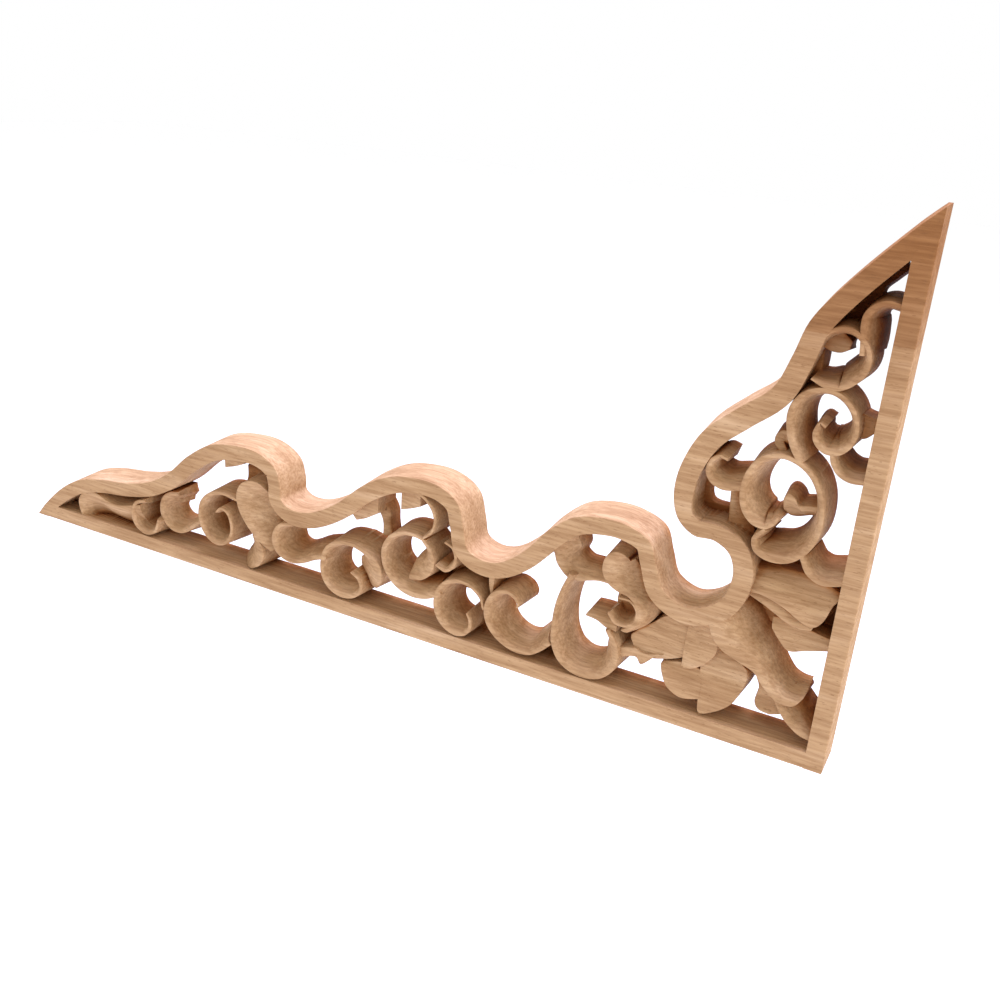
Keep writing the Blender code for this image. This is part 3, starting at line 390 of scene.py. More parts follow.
# %% Corner flower
shapes += [
    Leaf("left_leaf",
         [(67.5, 24.3, 3.0), (65.3, 20.8, 3.0), (60.9, 19.6, 3.0), (55.8, 20.8, 3.0), (49.5, 23.5, 3.0),
          (41.0, 28.5, 3.0)],
         [(67.9, 26.0, 3.5), (65.2, 28.9, 4.0), (61.0, 32.3, 4.4), (57.2, 35.6, 4.4), (49.0, 38.5, 4.0),
          (40.0, 41.5, 4.0)]),
    Leaf("middle_leaf",
         [(48.6, 20.4, 1.6), (45.2, 21.6, 1.5), (41.6, 24.6, 1.5), (39.0, 28.8, 1.5), (39.0, 34.0, 1.6),
          (41.5, 40.0, 2.0)],
         [(49.4, 21.2, 2.0), (49.5, 25.0, 2.2), (49.5, 29.0, 2.4), (49.5, 33.0, 2.8), (49.4, 36.0, 3.0),
          (49.0, 41.0, 3.0)]),
    Leaf("lower_leaf",
         [(56.2, 19.8, 1.6), (55.4, 16.5, 1.3), (53.0, 12.2, 1.2), (48.0, 9.9, 1.2), (42.0, 11.4, 1.2)],
         [(55.6, 20.2, 2.6), (53.0, 20.8, 3.2), (50.3, 21.5, 3.2), (46.0, 21.8, 3.0), (42.0, 21.0, 2.4)]),
    Leaf("lower_leaf_lobe",
         [(42.3, 12.5, 1.5), (41.3, 6.8, 1.0), (36.3, 8.8, 1.0), (31.6, 13.0, 1.2), (29.3, 18.0, 1.8),
          (28.1, 22.6, 2.6), (28.7, 25.8, 3.2)],
         [(42.4, 15.5, 1.8), (42.6, 18.5, 2.0), (43.4, 23.4, 2.6), (42.6, 27.2, 3.2), (40.0, 29.8, 3.8),
          (36.0, 29.6, 4.0), (32.5, 28.2, 4.2)]),
    Leaf("right_leaf",
         [(33.0, 52.5, 2.0), (28.0, 53.0, 1.2), (21.0, 51.0, 0.8), (15.5, 48.0, 0.8), (11.4, 47.2, 1.0),
          (8.8, 50.0, 1.6), (7.4, 55.0, 2.0)],
         [(33.0, 60.0, 7.0), (28.0, 61.0, 7.0), (21.0, 61.5, 6.5), (15.5, 61.5, 6.0), (12.0, 61.0, 5.5),
          (9.0, 60.0, 5.0), (5.0, 58.5, 4.6)]),
    Leaf("right_leaf_fold",
         [(33.0, 51.5, 3.0), (27.0, 49.4, 2.4), (21.0, 46.8, 1.6), (16.5, 45.2, 1.6), (12.0, 45.6, 1.8)],
         [(33.0, 54.0, 4.5), (27.0, 55.0, 4.5), (21.0, 53.0, 4.5), (16.0, 50.0, 4.5), (10.5, 49.2, 4.5)]),
    Leaf("small_leaf",
         [(23.5, 42.5, 2.6), (20.7, 39.2, 2.5), (17.3, 36.6, 2.5), (12.0, 38.2, 2.8), (4.5, 40.4, 3.0)],
         [(24.0, 46.0, 4.0), (20.0, 46.5, 4.0), (15.5, 46.0, 4.0), (10.5, 44.4, 4.0), (4.5, 43.5, 4.0)]),
    Leaf("foot_root",
         [(26.0, 23.6, 5.0), (24.6, 20.0, 5.0), (25.2, 15.1, 5.0), (23.6, 12.4, 5.0), (20.0, 11.8, 5.0)],
         [(18.0, 23.0, 7.0), (15.5, 21.0, 7.0), (13.0, 19.0, 7.0), (12.4, 16.6, 7.0), (11.6, 14.6, 7.0)]),
    Leaf("foot_leaf",
         [(19.8, 22.0, 2.4), (18.0, 17.8, 1.8), (14.6, 13.6, 1.4), (10.8, 10.8, 1.2), (8.0, 9.6, 1.2),
          (4.5, 9.0, 1.4)],
         [(14.0, 24.0, 8.0), (12.5, 21.5, 9.0), (10.3, 19.5, 10.0), (8.5, 17.6, 10.0), (6.5, 15.4, 10.0),
          (4.5, 13.6, 10.0)]),
    Leaf("tongue",
         [(43.5, 42.5, 0.0), (41.2, 36.0, 0.0), (37.5, 31.8, 0.0), (31.5, 29.3, 0.0), (26.3, 27.4, 0.0),
          (22.5, 23.3, 0.0), (18.5, 20.2, 0.0), (15.0, 19.3, 0.2), (12.2, 19.8, 0.6), (10.3, 22.4, 1.6)],
         [(34.0, 48.0, 7.0), (31.0, 46.0, 9.0), (27.0, 41.0, 11.0), (22.8, 35.5, 11.5), (20.3, 30.5, 11.5),
          (18.2, 27.4, 11.0), (16.2, 25.2, 10.5), (13.8, 24.0, 9.5), (11.6, 23.6, 8.5), (9.8, 23.6, 6.0)]),
    Leaf("flower_web",
         [(34.0, 40.0, 12.5), (24.0, 40.0, 12.5), (16.0, 40.5, 12.5), (4.5, 42.0, 12.5)],
         [(34.0, 62.5, 12.5), (24.0, 62.5, 12.5), (16.0, 62.5, 12.5), (4.5, 61.0, 12.5)]),
]
print(len(shapes), "carved shapes so far")

# %% [markdown]
# ### The short leg
#
# Three scrolls stand on each other, each smaller than the last, and small curls tie them to the
# straight rail.

# %% Short leg, lower half
shapes += [
    Stroke("side_curl", 0.2, 8.5, [
        (19.2, 68.4, 3.0), (16.4, 63.7, 3.8), (11.5, 61.5, 4.2), (4.5, 63.2, 4.0)]),
    Stroke("great_scroll", 0.2, 8.5, [
        (31.0, 74.8, 2.0), (34.0, 71.0, 3.0), (33.0, 67.0, 4.0), (28.5, 64.8, 5.5),
        (22.5, 65.5, 5.8), (17.8, 69.3, 5.2), (15.0, 75.0, 4.6), (14.4, 81.5, 4.0),
        (15.6, 88.0, 3.6), (19.0, 93.8, 3.4), (24.0, 97.4, 3.2), (30.0, 98.6, 3.4),
        (35.5, 96.3, 4.0), (38.8, 91.5, 4.4), (40.0, 85.5, 4.6), (38.9, 79.5, 5.2),
        (35.5, 75.4, 5.4), (31.2, 74.4, 5.0), (28.2, 76.2, 3.2), (27.0, 78.8, 1.6)]),
    Leaf("great_scroll_leaf",
         [(15.5, 83.5, 5.5), (20.0, 83.2, 5.0), (22.6, 82.9, 4.5), (24.2, 85.0, 4.0), (26.2, 86.0, 4.0),
          (27.6, 84.0, 4.6), (27.6, 81.0, 6.0)],
         [(15.5, 79.3, 9.0), (19.0, 79.1, 9.5), (21.0, 78.5, 9.5), (22.6, 77.9, 9.5), (24.4, 77.7, 9.0),
          (25.8, 78.0, 8.5), (26.6, 78.8, 8.0)]),
    Stroke("lobe_cup", 0.4, 8.5, [
        (44.9, 93.6, 2.0), (47.6, 94.2, 2.2), (50.4, 92.2, 3.0), (51.2, 88.2, 4.0), (49.2, 84.9, 4.6),
        (45.0, 83.4, 4.8), (39.0, 84.6, 4.8)]),
    Leaf("short_leg_web",
         [(43.9, 86.0, 6.0), (43.9, 80.0, 6.5), (43.0, 68.0, 7.0)],
         [(38.5, 84.0, 9.0), (38.0, 79.0, 9.5), (35.0, 68.0, 9.5)]),
    Leaf("short_leg_fillet",
         [(42.0, 74.6, 12.5), (49.0, 74.6, 12.5), (51.6, 77.0, 12.5), (52.0, 84.0, 12.5),
          (53.0, 92.0, 12.5)],
         [(42.0, 69.0, 12.5), (50.0, 69.0, 12.5), (57.0, 72.0, 12.5), (57.5, 84.0, 12.5),
          (57.5, 92.0, 12.5)]),
]
print(len(shapes), "carved shapes so far")

# %% Short leg, upper half
shapes += [
    Stroke("long_scroll", 0.2, 8.5, [
        (18.8, 109.2, 1.4), (20.8, 109.9, 1.8), (22.3, 107.0, 2.8), (21.4, 103.6, 3.8), (18.0, 101.1, 5.0),
        (13.8, 101.6, 5.2), (10.8, 104.8, 4.6), (9.8, 109.4, 3.4), (11.2, 114.2, 3.0),
        (14.8, 118.2, 3.0), (19.5, 120.0, 3.0), (24.5, 119.2, 3.4), (28.6, 116.0, 4.4),
        (30.3, 111.0, 5.0), (29.6, 105.5, 5.0), (27.6, 100.6, 4.6), (24.6, 96.4, 4.0)]),
    Stroke("long_scroll_bud", 4.0, 0.6, [
        (28.0, 104.4, 4.0), (31.0, 104.6, 4.0), (33.0, 102.8, 3.6), (33.0, 100.0, 3.0), (30.5, 97.5, 2.0)]),
    Leaf("long_scroll_heel",
         [(12.0, 106.0, 6.0), (8.4, 106.4, 6.0), (4.5, 110.6, 6.0)],
         [(12.0, 114.0, 6.5), (8.0, 112.6, 6.5), (4.5, 112.8, 6.5)]),
    Stroke("wall_curl", 0.3, 8.5, [
        (16.6, 101.5, 2.2), (15.6, 98.4, 3.0), (13.2, 95.6, 3.4), (9.5, 94.2, 3.4),
        (4.5, 94.6, 3.4)]),
    Stroke("upper_scroll", 0.2, 8.5, [
        (25.6, 121.6, 0.8), (22.5, 120.1, 2.4), (19.5, 119.6, 3.8), (17.0, 119.8, 4.6), (13.4, 122.2, 5.2),
        (10.9, 125.6, 5.0), (10.3, 129.8, 3.8), (11.8, 133.8, 3.0), (15.2, 136.9, 3.0),
        (19.5, 137.7, 3.0), (23.4, 136.0, 2.6), (25.2, 133.0, 1.6)]),
    Leaf("upper_wall",
         [(25.0, 118.5, 9.0), (24.5, 124.0, 8.5), (24.5, 130.0, 8.5), (24.0, 137.0, 8.5)],
         [(33.0, 118.5, 9.0), (31.0, 124.0, 9.0), (30.0, 130.0, 9.0), (29.0, 137.0, 9.0)]),
    Leaf("upper_scroll_leaf",
         [(24.8, 130.0, 6.0), (22.5, 129.2, 6.0), (19.8, 129.2, 6.0), (17.6, 130.4, 6.0)],
         [(24.8, 136.5, 6.5), (22.0, 136.0, 6.5), (19.6, 134.6, 6.5), (17.2, 132.8, 6.5)]),
    Stroke("upper_hook", 0.3, 8.5, [
        (4.5, 145.6, 3.0), (9.0, 146.4, 3.2), (12.6, 145.0, 3.6), (14.9, 142.0, 4.6),
        (15.2, 138.5, 5.2), (14.4, 134.0, 4.8), (14.0, 130.5, 4.2)]),
    Leaf("upper_web",
         [(12.2, 139.0, 12.5), (12.6, 144.0, 12.5), (12.4, 147.6, 12.5), (9.8, 150.6, 12.5),
          (7.0, 153.6, 12.5)],
         [(27.0, 137.0, 12.5), (24.0, 144.0, 12.5), (20.0, 150.0, 12.5), (16.0, 155.0, 12.5),
          (10.0, 162.0, 12.5)]),
]
print(len(shapes), "carved shapes")

# %% [markdown]
# ## From rows to stations
#
# The rows are far apart, so a smooth curve is run through them, and points are kept where the
# curve has turned by a few degrees or run on for a millimetre or two. On a tight curl the inner
# edge of a wide band would fold over itself, so the band is narrowed there until it does not.

# %% Smooth lines
FACET_ANGLE = math.radians(6)
LONGEST_STEP = 1.5
DENSE_STEP = 0.5


def smooth_line(line):
    """A dense curve through the rows of a line, with chord-length tangents."""
    chords = [math.dist(a[:2], b[:2]) for a, b in zip(line, line[1:])]
    slopes = []
    for i in range(len(line)):
        before, after = max(i - 1, 0), min(i + 1, len(line) - 1)
        run = sum(chords[before:after])
        slopes.append([(b - a) / run for a, b in zip(line[before], line[after])])
    dense = []
    for i, chord in enumerate(chords):
        steps = max(2, math.ceil(chord / DENSE_STEP))
        for k in range(steps):
            t = k / steps
            lift = t * t * (3 - 2 * t)
            leave, arrive = t * (1 - t) ** 2 * chord, t * t * (t - 1) * chord
            dense.append([
                a + (b - a) * lift + leave * slope_a + arrive * slope_b
                for a, b, slope_a, slope_b in zip(line[i], line[i + 1], slopes[i], slopes[i + 1])
            ])
    dense.append(list(line[-1]))
    return dense


def thinned(dense):
    """The dense rows to keep, where the line has turned or run far enough, with their headings."""
    last = len(dense) - 1
    headings = []
    for i in range(len(dense)):
        a, b = dense[max(i - 1, 0)], dense[min(i + 1, last)]
        headings.append(math.atan2(b[1] - a[1], a[0] - b[0]))
    kept, turned, run = [], 0.0, 0.0
    for i, row in enumerate(dense):
        if i:
            turned += abs(math.remainder(headings[i] - headings[i - 1], math.tau))
            run += math.dist(row[:2], dense[i - 1][:2])
        if i in (0, last) or turned >= FACET_ANGLE or run >= LONGEST_STEP:
            kept.append((*row, headings[i]))
            turned = run = 0.0
    return kept


print("points at most", LONGEST_STEP, "mm apart, or", round(math.degrees(FACET_ANGLE)), "degrees of turn")

# %% Stations of bands and leaves
LEAF_STEPS = 8
FULL_DIP_WIDTH = 4
LEAST_ADVANCE = 0.01
NARROWING = 0.95


def inner_edge(kept):
    """The inner edge of a band, whose width shrinks wherever the edge would fold back on itself."""
    widths = [row[2] for row in kept]
    while True:
        edge = [(left + width * math.sin(heading), up + width * math.cos(heading))
                for (left, up, _, heading), width in zip(kept, widths)]
        folded = [i for i in range(len(kept) - 1)
                  if (kept[i + 1][0] - kept[i][0]) * (edge[i + 1][0] - edge[i][0])
                  + (kept[i + 1][1] - kept[i][1]) * (edge[i + 1][1] - edge[i][1]) <= LEAST_ADVANCE]
        if not folded:
            return edge
        for i in folded:
            widths[i] *= NARROWING
            widths[i + 1] *= NARROWING


def stroke_stations(stroke):
    """Pairs of near and far points, each left, up and depth, along a stroke."""
    kept = thinned(smooth_line(stroke.line))
    pairs = []
    for row, far in zip(kept, inner_edge(kept)):
        fall = stroke.dip * min(1.0, math.dist(row[:2], far) / FULL_DIP_WIDTH)
        pairs.append(((row[0], row[1], stroke.drop), (*far, stroke.drop + fall)))
    return pairs


def leaf_stations(leaf):
    """Pairs of near and far points along a leaf, with the same steps on both edges."""
    def edge(rows):
        dense = []
        for i in range(len(rows) - 1):
            around = [rows[max(i - 1, 0)], rows[i], rows[i + 1], rows[min(i + 2, len(rows) - 1)]]
            for k in range(LEAF_STEPS):
                t = k / LEAF_STEPS
                dense.append(tuple(catmull_rom(values, t) for values in zip(*around)))
        return dense + [rows[-1]]
    return list(zip(edge(leaf.near), edge(leaf.far)))


def catmull_rom(values, t):
    """The value at t between the middle two of four values, on a smooth curve through them."""
    before, start, end, after = values
    bend = 2 * before - 5 * start + 4 * end - after
    twist = 3 * (start - end) + after - before
    return start + 0.5 * t * ((end - before) + t * (bend + t * twist))


print("a leaf has", LEAF_STEPS, "stations from row to row")

# %% [markdown]
# A scroll can turn through more than a full circle, and a body that crosses itself can't be
# joined. So a long band is cut into spans that overlap their neighbours a little.

# %% Spans and places
MOST_TURN = math.radians(130)
SPAN_DIP = 0.4


def spans(pairs):
    """A long band as overlapping spans, so none crosses itself. Each end dips under its neighbour."""
    def sunk(pair):
        return tuple((*point[:2], point[2] + SPAN_DIP) for point in pair)
    ends, turned = [0], 0.0
    for i in range(2, len(pairs)):
        a, b, c = [near[:2] for near, _ in pairs[i - 2:i + 1]]
        turned += abs(math.remainder(math.atan2(c[1] - b[1], c[0] - b[0])
                                     - math.atan2(b[1] - a[1], b[0] - a[0]), math.tau))
        if turned > MOST_TURN and i < len(pairs) - 2:
            ends.append(i)
            turned = 0.0
    cut = []
    for start, end in zip(ends, ends[1:] + [len(pairs)]):
        span = pairs[max(start - 1, 0):end + 2]
        if start > 0:
            span[0] = sunk(span[0])
        if end < len(pairs):
            span[-1] = sunk(span[-1])
        cut.append(span)
    return cut


def place(left, up, depth):
    """A point of the drawing in metres, from the middle of the corner square on the back."""
    half = RAIL_WIDTH / 2
    return ((half - left) * MM, (depth - THICKNESS) * MM, (up - half) * MM)


print("tip of the long leg at", [round(value, 4) for value in place(LONG_LEG, 0.0, 0.0)])

# %% [markdown]
# ## The gouge, as Geometry Nodes
#
# Every band, leaf and rail is the same cut along a different path, so one node tree makes them
# all. It reads a strip of paired points, near and far, and lays a grid between them. Three curves
# shape the grid across the band: where each point sits, how far the sharp rim is rounded, and
# how deep the gouge goes. A slow noise gives the small waves that a hand-held tool leaves.
# The grid is then extruded to the back, flattened there and closed.

# %% Helpers for the node tree
def named_inputs(tree, sockets):
    """Adds sockets as (name, type, value) and returns the node that holds them."""
    for name, kind, value in sockets:
        socket = tree.interface.new_socket(name, in_out="INPUT", socket_type=kind)
        if value is not None:
            socket.default_value = value
    return tree.nodes.new("NodeGroupInput").outputs


def shaped_curve(tree, source, points):
    """A float curve of straight pieces through the points, read at source."""
    node = add_node(tree, "ShaderNodeFloatCurve", {"Value": source})
    curve = node.mapping.curves[0]
    while len(curve.points) < len(points):
        curve.points.new(0.5, 0.5)
    for point, (x, y) in zip(curve.points, points):
        point.location = (x, y)
        point.handle_type = "VECTOR"
    node.mapping.update()
    return node.outputs["Value"]


def math_node(tree, operation, *values):
    """The result of one sum on numbers or sockets."""
    return add_node(tree, "ShaderNodeMath", dict(enumerate(values)), operation=operation).outputs[0]


def vector_math(tree, operation, *values):
    """The node of one sum on vectors, whose result is a vector or a value."""
    return add_node(tree, "ShaderNodeVectorMath", dict(enumerate(values)), operation=operation)


print("a flat rim", RIM, "mm wide, rounded by", EDGE_ROUNDING, "mm")

# %% Node tree of a gouged band
ACROSS = 11
RIM_POINT = 3
WIDEST_RIM_SHARE = 0.35
RIM_PLACE = ((0.0, 0.0), (0.1, 0.1), (0.2, 0.36), (0.3, 1.0), (1.0, 1.0))
RIM_DROP = ((0.0, 1.0), (0.1, 0.3), (0.2, 0.0), (1.0, 0.0))
TOOL_MARK_DEPTH = 0.00012
TOOL_MARK_SIZE = 0.004
WELD_DISTANCE = 1e-6


def gouged_band_tree():
    """A node tree that turns a strip of near and far points into one closed, gouged body."""
    tree = bpy.data.node_groups.new("gouged band", "GeometryNodeTree")
    tree.is_modifier = True
    given = named_inputs(tree, [
        ("Strip", "NodeSocketGeometry", None), ("Rim Width", "NodeSocketFloat", RIM * MM),
        ("Edge Rounding", "NodeSocketFloat", EDGE_ROUNDING * MM),
        ("Gouge Power", "NodeSocketFloat", BAND_GOUGE),
        ("Tool Marks", "NodeSocketFloat", TOOL_MARK_DEPTH),
        ("Tool Mark Size", "NodeSocketFloat", TOOL_MARK_SIZE),
        ("Back", "NodeSocketFloat", MM), ("Wood", "NodeSocketMaterial", None)])
    tree.interface.new_socket("Band", in_out="OUTPUT", socket_type="NodeSocketGeometry")
    strip = given["Strip"]
    size = add_node(tree, "GeometryNodeAttributeDomainSize", {"Geometry": strip}, component="MESH")
    stations = math_node(tree, "DIVIDE", size.outputs["Point Count"], 2.0)
    grid = add_node(tree, "GeometryNodeMeshGrid", {"Vertices X": stations, "Vertices Y": ACROSS})

    index = add_node(tree, "GeometryNodeInputIndex").outputs[0]
    middle = math_node(tree, "ADD", index, 0.5)
    station = math_node(tree, "FLOOR", math_node(tree, "DIVIDE", middle, float(ACROSS)))
    step = math_node(tree, "SUBTRACT", index, math_node(tree, "MULTIPLY", station, float(ACROSS)))
    across = math_node(tree, "DIVIDE", step, ACROSS - 1.0)

    position = add_node(tree, "GeometryNodeInputPosition").outputs[0]
    ends = []
    for side in (0.0, 1.0):
        number = math_node(tree, "ADD", math_node(tree, "MULTIPLY", station, 2.0), side)
        ends.append(add_node(tree, "GeometryNodeSampleIndex", {
            "Geometry": strip, "Value": position, "Index": number}, data_type="FLOAT_VECTOR").outputs[0])
    near, far = ends

    reach = vector_math(tree, "SUBTRACT", far, near).outputs["Vector"]
    flat = vector_math(tree, "MULTIPLY", reach, (1.0, 0.0, 1.0)).outputs["Vector"]
    width = vector_math(tree, "LENGTH", flat).outputs["Value"]
    rim = math_node(tree, "MINIMUM", math_node(tree, "DIVIDE", given["Rim Width"], width),
                    WIDEST_RIM_SHARE)
    hollow = add_node(tree, "ShaderNodeMapRange", {
        "Value": across, "From Min": RIM_POINT / (ACROSS - 1), "From Max": 1.0}).outputs[0]
    on_rim = math_node(tree, "MULTIPLY", shaped_curve(tree, across, RIM_PLACE), rim)
    past_rim = math_node(tree, "MULTIPLY", hollow, math_node(tree, "SUBTRACT", 1.0, rim))
    sideways = math_node(tree, "ADD", on_rim, past_rim)
    gouge = math_node(tree, "POWER", hollow, given["Gouge Power"])
    share = add_node(tree, "ShaderNodeCombineXYZ", {"X": sideways, "Y": gouge, "Z": sideways}).outputs[0]
    cut = vector_math(tree, "MULTIPLY_ADD", reach, share, near).outputs["Vector"]

    rounding = math_node(tree, "MULTIPLY", shaped_curve(tree, across, RIM_DROP), given["Edge Rounding"])
    waves = add_node(tree, "ShaderNodeTexNoise", {
        "Vector": cut, "Scale": math_node(tree, "DIVIDE", 1.0, given["Tool Mark Size"]), "Detail": 2.0})
    marks = math_node(tree, "MULTIPLY", waves.outputs[0], given["Tool Marks"])
    deeper = add_node(tree, "ShaderNodeCombineXYZ", {"Y": math_node(tree, "ADD", rounding, marks)}).outputs[0]
    surface = vector_math(tree, "ADD", cut, deeper).outputs["Vector"]
    face = add_node(tree, "GeometryNodeSetPosition", {"Geometry": grid.outputs["Mesh"], "Position": surface})

    sides = add_node(tree, "GeometryNodeExtrudeMesh", {
        "Mesh": face.outputs[0], "Offset": (0.0, 1.0, 0.0), "Offset Scale": MM,
        "Individual": False}, mode="FACES")
    apart = add_node(tree, "ShaderNodeSeparateXYZ", {"Vector": position}).outputs
    level = add_node(tree, "ShaderNodeCombineXYZ", {"X": apart["X"], "Y": given["Back"], "Z": apart["Z"]})
    body = add_node(tree, "GeometryNodeSetPosition", {
        "Geometry": sides.outputs["Mesh"], "Selection": sides.outputs["Top"], "Position": level.outputs[0]})
    outside = add_node(tree, "GeometryNodeFlipFaces", {"Mesh": body.outputs[0]})
    joined = add_node(tree, "GeometryNodeJoinGeometry")
    tree.links.new(face.outputs[0], joined.inputs[0])
    tree.links.new(outside.outputs[0], joined.inputs[0])
    closed = add_node(tree, "GeometryNodeMergeByDistance", {
        "Geometry": joined.outputs[0], "Distance": WELD_DISTANCE})
    real = add_node(tree, "GeometryNodeRealizeInstances", {"Geometry": closed.outputs[0]})
    painted = add_node(tree, "GeometryNodeSetMaterial", {
        "Geometry": real.outputs[0], "Material": given["Wood"]})
    add_node(tree, "NodeGroupOutput", {"Band": painted.outputs[0]})
    return tree


gouged_band = gouged_band_tree()
socket_of = {item.name: item.identifier
             for item in gouged_band.interface.items_tree if item.in_out == "INPUT"}
print("node tree with", len(gouged_band.nodes), "nodes and inputs", sorted(socket_of))

# %% [markdown]
# ## The wood
#
# The real piece is unfinished rubberwood, a pale tan hardwood. Its grain runs along the long leg
# everywhere, across the short leg too, because the plank was glued up before it was cut. Three
# things of the wood show from a step away: slow streaks of tone, short dark pores about 2 mm long,
# and a board that gets browner from 100 to 165 mm up with a step at its glue line at 132 mm. On
# top of them, shade is painted into the hollows as a browner tone, from a number that the mesh
# brings. Sawn and carved faces are matt and slightly rough, and hardly shine, because there is no
# varnish on them.

# %% Wood material
PORE_LENGTH = 2.2
PORE_WIDTH = 0.32
PORE_TONE = "7d5433"
PORE_STRENGTH = 0.45
GLUE_LINE = 0.132
BROWNER_FROM = 0.10
BROWNEST_AT = 0.165
BROWN_TONE = "d0b59b"
STEP_SHARE = 0.3
SLOW_SHARE = 0.8
STREAK_TONES = [(0.30, "b08962"), (0.52, "c19b73"), (0.72, "d0ac86")]
FIBRE_TONES = [(0.35, "d9d0c8"), (0.65, "ffffff")]
PORE_EDGES = [(0.66, "000000"), (0.72, "ffffff")]
# The last tones are painted shade for the hollows, from least to most open air.
PAINTED_SHADE_TONES = [(0.03, "7d4b29"), (0.18, "c99a6e"), (0.35, "ecd3b6"), (0.55, "ffffff")]


def rubberwood_material():
    """Tan hardwood with long streaks, short dark pores, a browner upper board and painted shade in the
    hollows.
    """
    material = bpy.data.materials.new("unfinished rubberwood")
    material.use_nodes = True
    tree = material.node_tree
    shader = tree.nodes["Principled BSDF"]
    place_on = add_node(tree, "ShaderNodeTexCoord").outputs["Object"]

    def along_grain(length, width, offset=0.0):
        """Coordinates in which one unit is length mm along the grain and width mm across it."""
        scale = (1000.0 / length, 1000.0 / width, 1000.0 / width)
        return add_node(tree, "ShaderNodeMapping", {
            "Vector": place_on, "Location": (offset, offset, offset), "Scale": scale}).outputs[0]

    def noise_of(coordinates, detail=3.0, roughness=0.5):
        return add_node(tree, "ShaderNodeTexNoise", {
            "Vector": coordinates, "Scale": 1.0, "Detail": detail, "Roughness": roughness}).outputs[0]

    def ramp(source, stops):
        """Turns a value into a colour that goes from each stop's tone to the next one's."""
        node = add_node(tree, "ShaderNodeValToRGB", {"Fac": source})
        elements = node.color_ramp.elements
        while len(elements) < len(stops):
            elements.new(0.5)
        for element, (place_at, tone) in zip(elements, stops):
            element.position = place_at
            element.color = colour(tone)
        return node.outputs["Color"]

    def blend(kind, amount, first, second):
        node = add_node(tree, "ShaderNodeMix", {"Factor": amount, "A": first, "B": second},
                        data_type="RGBA", blend_type=kind)
        return node.outputs[2]

    streaks = noise_of(along_grain(60.0, 5.0), 4.0, 0.55)
    body = ramp(streaks, STREAK_TONES)
    fibres = ramp(noise_of(along_grain(14.0, 0.9, 7.0), 3.0), FIBRE_TONES)
    body = blend("MULTIPLY", 0.8, body, fibres)

    height = add_node(tree, "ShaderNodeSeparateXYZ", {"Vector": place_on}).outputs["Z"]
    past_glue = math_node(tree, "GREATER_THAN", height, GLUE_LINE)
    browner = add_node(tree, "ShaderNodeMapRange", {
        "Value": height, "From Min": BROWNER_FROM, "From Max": BROWNEST_AT}).outputs[0]
    step = math_node(tree, "MULTIPLY", past_glue, STEP_SHARE)
    upper = math_node(tree, "ADD", step, math_node(tree, "MULTIPLY", browner, SLOW_SHARE))
    body = blend("MULTIPLY", upper, body, colour(BROWN_TONE))

    pore_spots = noise_of(along_grain(PORE_LENGTH, PORE_WIDTH, 3.0), 1.0)
    pores = ramp(pore_spots, PORE_EDGES)
    body = blend("MIX", math_node(tree, "MULTIPLY", pores, PORE_STRENGTH), body, colour(PORE_TONE))

    # Painted shade: the less open air there is in front of a face, the browner its colour.
    air = add_node(tree, "ShaderNodeAttribute", attribute_name="open air").outputs["Fac"]
    body = blend("MULTIPLY", 1.0, body, ramp(air, PAINTED_SHADE_TONES))

    tree.links.new(body, shader.inputs["Base Color"])
    shader.inputs["Roughness"].default_value = 0.7
    shader.inputs["Specular IOR Level"].default_value = 0.1

    rough = noise_of(along_grain(1.6, 0.5, 11.0), 4.0, 0.6)
    relief = math_node(tree, "SUBTRACT", rough, math_node(tree, "MULTIPLY", pores, 0.6))
    bump = add_node(tree, "ShaderNodeBump", {"Strength": 0.35, "Distance": 0.0003, "Height": relief})
    tree.links.new(bump.outputs[0], shader.inputs["Normal"])
    return material


rubberwood = rubberwood_material()
print("pores of", PORE_LENGTH, "by", PORE_WIDTH, "mm")

# %% [markdown]
# ## Cutting the shapes and joining them
#
# Each shape becomes a strip of paired points that the node tree turns into a closed body. The
# bodies overlap where the carving touches, and one Boolean joins them. A second one trims the
# result to the plank, which cuts both tips and gives the flat back.

# %% Strips and their node trees
def strip_object(name, pairs, **inputs):
    """A strip of near and far points with the gouged band tree on it."""
    points = [place(*point) for pair in pairs for point in pair]
    faces = [(2 * i, 2 * i + 1, 2 * i + 3, 2 * i + 2) for i in range(len(pairs) - 1)]
    mesh = bpy.data.meshes.new(name)
    mesh.from_pydata(points, [], faces)
    strip = bpy.data.objects.new(name, mesh)
    bpy.context.scene.collection.objects.link(strip)
    modifier = strip.modifiers.new("gouged band", "NODES")
    modifier.node_group = gouged_band
    for label, value in {"Wood": rubberwood, **inputs}.items():
        modifier[socket_of[label]] = value
    return strip


def straight_rail(first, last):
    """Pairs of near and far points along a straight rail, from one outer end to the other."""
    count = math.ceil(math.dist(first[:2], last[:2]) / LONGEST_STEP)
    across = (0.0, RAIL_WIDTH) if first[0] > last[0] else (RAIL_WIDTH, 0.0)
    pairs = []
    for i in range(count + 1):
        left, up = [a + (b - a) * i / count for a, b in zip(first, last)]
        pairs.append(((left, up, 0.0), (left + across[0], up + across[1], 0.0)))
    return pairs


